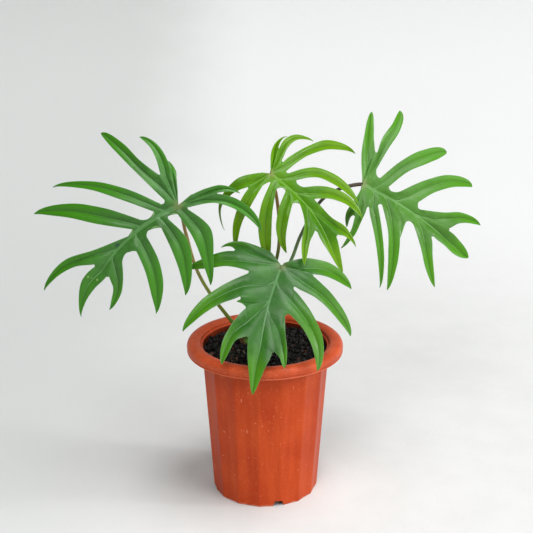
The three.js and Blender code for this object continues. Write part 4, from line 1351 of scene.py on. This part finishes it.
def leaf_finish(look):
    material, paint, place = start_finish(look["slot"])
    vein, band, edge, way, under, ripe, knot, mark = (attribute(paint, label) for label in LEAF_VALUES)
    tone = between(grain(place, 38, 3), 0.3, 0.7)
    mottle = between(grain(place, 5, 3, 0.6), 0.3, 0.7)
    phase = (way - vein * SIDE_VEIN_SLANT) / SIDE_VEIN_SPACING + grain(place, 18) * 1.5
    quilting = phase.math("COSINE", phase * (2 * math.pi))
    close = 1 - between(vein, 3.0, 8.0)
    side_vein = between(quilting, 0.72, 1.0) * between(vein, 0.5, 2.5) * between(edge, 0.5, 3.0) * close
    on_band = vein / band
    pale_vein = 1 - between(on_band, 0.6, 1.1)
    large = between(band, 0.3, 1.2)
    # Painted shade: a narrow band just outside each pale vein, in its groove, is mixed towards the deep
    # green.
    border = between(on_band, 0.8, 1.15) * (1 - between(on_band, 1.2, 2.2))
    rim = 1 - between(edge, 0.1, 0.55)

    flesh = blend(tone * 0.7 + mottle * 0.3, look["deep"], look["flesh"])
    flesh = blend(between(ripe + tone * 0.3, 0.1, 0.85) * 0.9, flesh, look["tip"])
    flesh = blend(pale_vein * (0.34 + large * 0.12) + side_vein * 0.07, flesh, look["vein"])
    # Painted shade in the vein grooves.
    flesh = blend(border * 0.25, flesh, look["deep"])
    flesh = blend(rim * 0.5, flesh, look["vein"])
    flesh = blend(knot * (0.35 + mottle * 0.4), flesh, LEAF_KNOT)
    flesh = blend(between(mark + mottle * 0.4, 0.5, 0.95) * 0.5, flesh, LEAF_SCAR)
    flesh = blend(between(mottle * 0.2 - mark, 0.4, 0.9) * 0.75, flesh, LEAF_BRUISE)
    back = blend(0.55 + mottle * 0.15, flesh, LEAF_UNDERSIDE)
    groove = (1 - between(on_band, 0.7, 1.9)) * (1 - large * 0.6) * 0.3
    height = quilting * close * between(vein, 0.3, 3) * 0.03 + grain(place, 2.2, 2) * 0.04 - groove
    sockets = {"Base Color": blend(under, flesh, back), "Roughness": 0.36 + mottle * 0.08 + under * 0.25}
    sockets["Specular IOR Level"] = look["gloss"]
    sockets["Coat Weight"] = (1 - under) * (0.8 + mottle * 0.2) * look["wax"]
    sockets["Coat Roughness"] = WAX_ROUGHNESS
    end_finish(paint, sockets, height, 1.0)
    return material


for name, mesh in blade_meshes.items():
    look = LEAF_LOOKS[name]
    add_piece(f"blade_{name}", mesh, leaf_finish(look), f"leaf_{name}", sharp=55)

# %% [markdown]
# The stalks follow the same points as the solids do. A young stalk is green at the crown and turns purple
# brown towards the blade, more so on its upper side, and each of the four has its own mix. A ramp along
# the stalk gives the main change, and the side that faces up is mixed darker.

# %% Stalks
STALKS = {
    "left": {
        "slot": "petiole_olive",
        "route": [(-19, 8, 157), (-32, 7, 174), (-55.5, 3, 209), (-67, 1, 233), (-76, -9, 273)],
        "colours": [(0, (96, 122, 20)), (0.4, (128, 140, 58)), (0.62, (166, 146, 88)), (1, (170, 140, 92))],
    },
    "middle": {
        "slot": "petiole_olive",
        "route": [(-19, 11, 160), (-4, 10, 200), (12, 10, 243), (14, 10, 270), (11, 10, 305)],
        "colours": [(0, (84, 106, 30)), (0.5, (80, 98, 30)), (0.72, (150, 122, 72)), (1, (164, 126, 84))],
    },
    "right": {
        "slot": "petiole_dark",
        "route": [(-15, 12, 160), (6, 19, 199), (26, 27, 233), (36, 33, 258), (56, 41, 291), (72, 45, 301)],
        "colours": [(0, (116, 150, 98)), (0.42, (108, 138, 90)), (0.62, (60, 66, 44)), (1, (62, 46, 36))],
    },
    "front": {
        "slot": "petiole_green",
        "route": [(-15, 5, 160), (0, -2, 195), (10, -10, 222)],
        "colours": [(0, (74, 118, 30)), (0.5, (92, 128, 46)), (1, (84, 96, 60))],
    },
}
STALK_SHADE = colour(60, 50, 38)
STALK_R = 1.75
STALK_SIDES = 24
STALK_STEP = 1.5
STALK_GROOVE = 0.12
STALK_RELIEF = 0.12
STALK_GLOSS = 0.2
RUN_ON = 7
UNDER_MIDRIB = (1.6, 1.1)
FOOT_SWELL = 0.75
FOOT_SHARE = 0.07
TAPER = 0.35
KNEE_SWELL = 0.22
KNEE_AT = 0.92
KNEE_REACH = 0.05
WAIST = 0.15
THIN_FROM = 0.955
THIN_BY = 0.75


def stalk_line(name):
    """The stalk's route, then on under the midrib for a short way, in the plant's millimetres."""
    leaf = LEAVES[name]
    axes = leaf_axes(leaf)
    aside = 4 * leaf["bow"] * RUN_ON / leaf["length"]
    low, lower = (keel_drop(leaf, x) - under for x, under in zip((0, RUN_ON), UNDER_MIDRIB))
    below = [(0, 0, low), (RUN_ON, aside, lower)]
    ends = [np.array(leaf["junction"]) + np.array(at) @ axes for at in below]
    return smooth_line([*STALKS[name]["route"], *ends], STALK_STEP)


def stalk_radii(count):
    """Radii along a stalk: swollen at its foot and its knee, slim between them, thin under the midrib."""
    share = np.linspace(0, 1, count)
    base = FOOT_SWELL * np.exp(-(share / FOOT_SHARE) ** 2) + TAPER * (1 - share) ** 2
    knee = KNEE_SWELL * np.exp(-((share - KNEE_AT) / KNEE_REACH) ** 2)
    thinning = 1 - THIN_BY * ((share - THIN_FROM) / (1 - THIN_FROM)).clip(0) ** 1.5
    return (STALK_R + base + knee - WAIST * np.sin(math.pi * share)) * thinning


def stalk_finish(name, stalk):
    material, paint, place = start_finish(f"{stalk['slot']}_{name}")
    share = attribute(paint, "share")
    turn = attribute(paint, "turn")
    stops = [(at, colour(*shade)) for at, shade in stalk["colours"]]
    shade = paint.node("ShaderNodeValToRGB", {"stops": stops}, {0: share + grain(place, 12) * 0.16 - 0.08})
    lengthwise = grain(place, 2.2, 3, 0.6)
    dark = between(turn + lengthwise * 0.8, 0.3, 1.4) * 0.16 + between(lengthwise, 0.5, 0.8) * 0.2
    sockets = {"Base Color": blend(dark, shade, STALK_SHADE), "Roughness": 0.42 + lengthwise * 0.12}
    sockets["Specular IOR Level"] = STALK_GLOSS
    end_finish(paint, sockets, lengthwise, STALK_RELIEF)
    return material


for name, stalk in STALKS.items():
    line = stalk_line(name)
    points, faces, turns, shares = tube(line, stalk_radii(len(line)), STALK_SIDES, STALK_GROOVE)
    mesh = make_mesh(f"stalk_{name}", points, faces)
    add_values(mesh, "turn", turns)
    add_values(mesh, "share", shares)
    add_piece(f"stalk_{name}", mesh, stalk_finish(name, stalk), f"petiole_{name}")

# %% [markdown]
# Between the stalks a short crown stands in the soil. It is mostly hidden, but from above and behind it
# shows: a stub of green stem with rings where older leaves sat, and dry sheaths that clasp the stalks.
# The stub is a rod with its rings in the profile. Each sheath is a thin curved tongue with its own turn
# round the crown, height and radius at its foot.

# %% Crown
CROWN_R = 5.6
CROWN_TOP_R = 4.4
CROWN_BASE_Z = 141.0
CROWN_TOP_Z = 165.6
CROWN_ROWS = 60
CROWN_COLUMNS = 48
CROWN_RING_FROM_Z = 153
CROWN_RING_RISE = 0.35
CROWN_RING_WIDTH = 0.5
CROWN_RING_SPACING = 4.2
CROWN_LUMPS = 0.05
SHEATHS = [(0.1, 13, 6.1), (1.4, 17, 6.7), (2.7, 11, 6.1), (3.8, 14, 6.7)]
SHEATH_FOOT_Z = 147.0
SHEATH_LEAN = 2.4
SHEATH_HALF_TURN = 0.75
SHEATH_THICKNESS = 0.45
SHEATH_ROWS = 18
SHEATH_COLUMNS = 13
SHEATH_CURL = 0.5
STEM_GREENS = (colour(66, 116, 26), colour(98, 148, 44))
HUSK_BROWNS = (colour(86, 62, 36), colour(142, 112, 70))


def crown_stub():
    """Points and faces of the stub of stem, with the rings that old leaves left."""
    points = []
    for z in np.linspace(CROWN_BASE_Z, CROWN_TOP_Z, CROWN_ROWS):
        share = (z - CROWN_BASE_Z) / (CROWN_TOP_Z - CROWN_BASE_Z)
        past_ring = (z - CROWN_RING_FROM_Z) % CROWN_RING_SPACING - CROWN_RING_SPACING / 2
        radius = CROWN_R + (CROWN_TOP_R - CROWN_R) * share
        radius += CROWN_RING_RISE * math.exp(-(past_ring / CROWN_RING_WIDTH) ** 2)
        radius *= math.sqrt(max(1 - share ** 8, 0.02))
        for angle in all_round(CROWN_COLUMNS):
            around = Vector((3 * math.cos(angle), 3 * math.sin(angle), z / 5))
            reach = radius * (1 + CROWN_LUMPS * noise.noise(around))
            points.append((CROWN_AT[0] + reach * math.cos(angle), CROWN_AT[1] + reach * math.sin(angle), z))
    return points, rod_faces(CROWN_ROWS, CROWN_COLUMNS)


def sheath(turn, height, foot_radius):
    """A dry tongue that clasps the crown from one side and leans away from it towards its tip."""
    rings = {0: [], SHEATH_THICKNESS: []}
    for i in range(SHEATH_ROWS):
        share = i / (SHEATH_ROWS - 1)
        half_turn = SHEATH_HALF_TURN * math.sqrt(1 - 0.98 * share ** 2.5)
        for k in range(SHEATH_COLUMNS):
            angle = turn + half_turn * (2 * k / (SHEATH_COLUMNS - 1) - 1)
            spot = Vector((2 * math.cos(angle), 2 * math.sin(angle), 3 * share + turn))
            curl = SHEATH_CURL * noise.noise(spot)
            for depth, points in rings.items():
                radius = foot_radius + SHEATH_LEAN * share ** 2 + curl * share - depth
                x = CROWN_AT[0] + radius * math.cos(angle)
                y = CROWN_AT[1] + radius * math.sin(angle)
                points.append((x, y, SHEATH_FOOT_Z + height * share))
    faces = [face for face in ring_faces(SHEATH_ROWS, SHEATH_COLUMNS) if face[1] > face[0]]
    return closed_sheet(rings[0], rings[SHEATH_THICKNESS], faces)


def crown_finish():
    material, paint, place = start_finish("stem_green")
    dry = attribute(paint, "dry")
    fibres = grain(stretch(place, (1, 1, 0.15)), 1.2, 3, 0.7)
    light = between(fibres, 0.35, 0.65)
    shade = blend(dry, blend(light, *STEM_GREENS), blend(light, *HUSK_BROWNS))
    end_finish(paint, {"Base Color": shade, "Roughness": 0.5 + dry * 0.25}, fibres, 0.25)
    return material


crown_mesh = make_mesh("crown", *joined([crown_stub(), *(sheath(*parts) for parts in SHEATHS)]))
dry = np.arange(len(crown_mesh.vertices)) >= CROWN_ROWS * CROWN_COLUMNS
add_values(crown_mesh, "dry", dry)
print("crown with", len(SHEATHS), "dry sheaths")
add_piece("crown", crown_mesh, crown_finish(), "stem")

# %% [markdown]
# A plain pale floor shows the plant and nothing else. It rises into a very wide, shallow dish, a little
# paler further out, so that the same paleness lies behind the plant from every side. Four round lamps light
# it softly. The key stands to the right, as a wide window would: it puts a pale streak on the right of the
# pot and a faint shadow on the left of its foot. One in front gives the leaves their sheen, a small one from
# the side the crisp lights on their veins, and one overhead lights the floor. A dim sky fills the shadows.
# The colours are shown as they are, without a film curve.

# %% Floor and light
FLOOR_FLAT_R = 600
FLOOR_BENT_R = 1400
FLOOR_R = 3000
FLOOR_SLOPE = 0.5
FLOOR_RINGS = 40
FLOOR_COLUMNS = 96
NEAR_PALE = (colour(204, 205, 204), colour(208, 209, 208))
FAR_PALE = colour(221, 222, 222)
# Painted shade: a darker colour for the left side of the floor, away from the key.
LEFT_SHADE_PAINTED = colour(199, 201, 200)
SKY_STRENGTH = 0.21


def floor_height(radius):
    """Level under the plant, then bending up to a steady slope."""
    bend = min(max(radius - FLOOR_FLAT_R, 0), FLOOR_BENT_R - FLOOR_FLAT_R)
    return FLOOR_SLOPE * (bend ** 2 / (FLOOR_BENT_R - FLOOR_FLAT_R) / 2 + max(radius - FLOOR_BENT_R, 0))


def build_backdrop():
    points = [(0, 0, 0)]
    for radius in np.linspace(0, FLOOR_R, FLOOR_RINGS + 1)[1:]:
        for turn in all_round(FLOOR_COLUMNS):
            points.append((radius * math.cos(turn), radius * math.sin(turn), floor_height(radius)))
    open_faces = turned_faces(FLOOR_RINGS, FLOOR_COLUMNS)[:-FLOOR_COLUMNS]
    return make_mesh("backdrop", points, turned_over(open_faces))


def backdrop_finish():
    material, paint, place = start_finish("backdrop")
    clouds = between(grain(place, 60, 4, 0.6), 0.3, 0.7)
    across, away = (along_axis(place, axis) for axis in "XY")
    radius = paint.math("SQRT", across * across + away * away)
    shade = blend(between(radius, 400, 1000), blend(clouds, *NEAR_PALE), FAR_PALE)
    # Painted shade: the floor is mixed darker towards the left, away from the key on the right.
    left = 1 - between(across + grain(place, 150, 3) * 120, -230, 50)
    sockets = {"Base Color": blend(left, shade, LEFT_SHADE_PAINTED), "Roughness": 0.9}
    end_finish(paint, sockets, grain(place, 3, 3), 0.2)
    return material


add_smooth("backdrop", build_backdrop(), backdrop_finish())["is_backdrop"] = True


def add_light(name, at, aim, size, power, tint=(1, 1, 1)):
    """A round lamp, with its place, aim and size in metres and its power in watts."""
    data = bpy.data.lights.new(name, "AREA")
    data.shape = "DISK"
    data.size = size
    data.energy = power
    data.color = tint
    light = add_object(name, data)
    light.location = at
    light.rotation_euler = (Vector(aim) - Vector(at)).to_track_quat("-Z", "Y").to_euler()


add_light("key", (2.2, -1.9, 2.0), (0, 0, 0.2), 2.4, 50, (1, 0.99, 0.97))
add_light("front", (-0.4, -2.0, 2.6), (0, 0, 0.2), 1.2, 36)
add_light("side", (2.85, -0.4, 1.65), (0.05, 0, 0.28), 0.45, 22)
add_light("overhead", (0.9, -0.3, 3.2), (0.1, 0.1, 0.2), 2.0, 74)
world = bpy.data.worlds.new("room")
world.use_nodes = True
sky = world.node_tree.nodes["Background"]
sky.inputs["Color"].default_value = (1, 1, 1, 1)
sky.inputs["Strength"].default_value = SKY_STRENGTH
bpy.context.scene.world = world
bpy.context.scene.view_settings.view_transform = "Standard"
bpy.context.scene.view_settings.look = "None"
print("backdrop, four soft lights and a dim sky")

# %% [markdown]
# Last, the boxes of the solids and of the dressed plant are printed side by side: the dressed plant should
# stay inside the box of its solids, give or take a few parts in a hundred.

# %% Sizes
visual_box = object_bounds()
sizes = {"cad": [list(corner) for corner in CAD_BOX], "visual": [list(corner) for corner in visual_box]}
for label, (low, high) in sizes.items():
    print(label, [f"{(b - a) / MM:.1f}" for a, b in zip(low, high)], "mm")
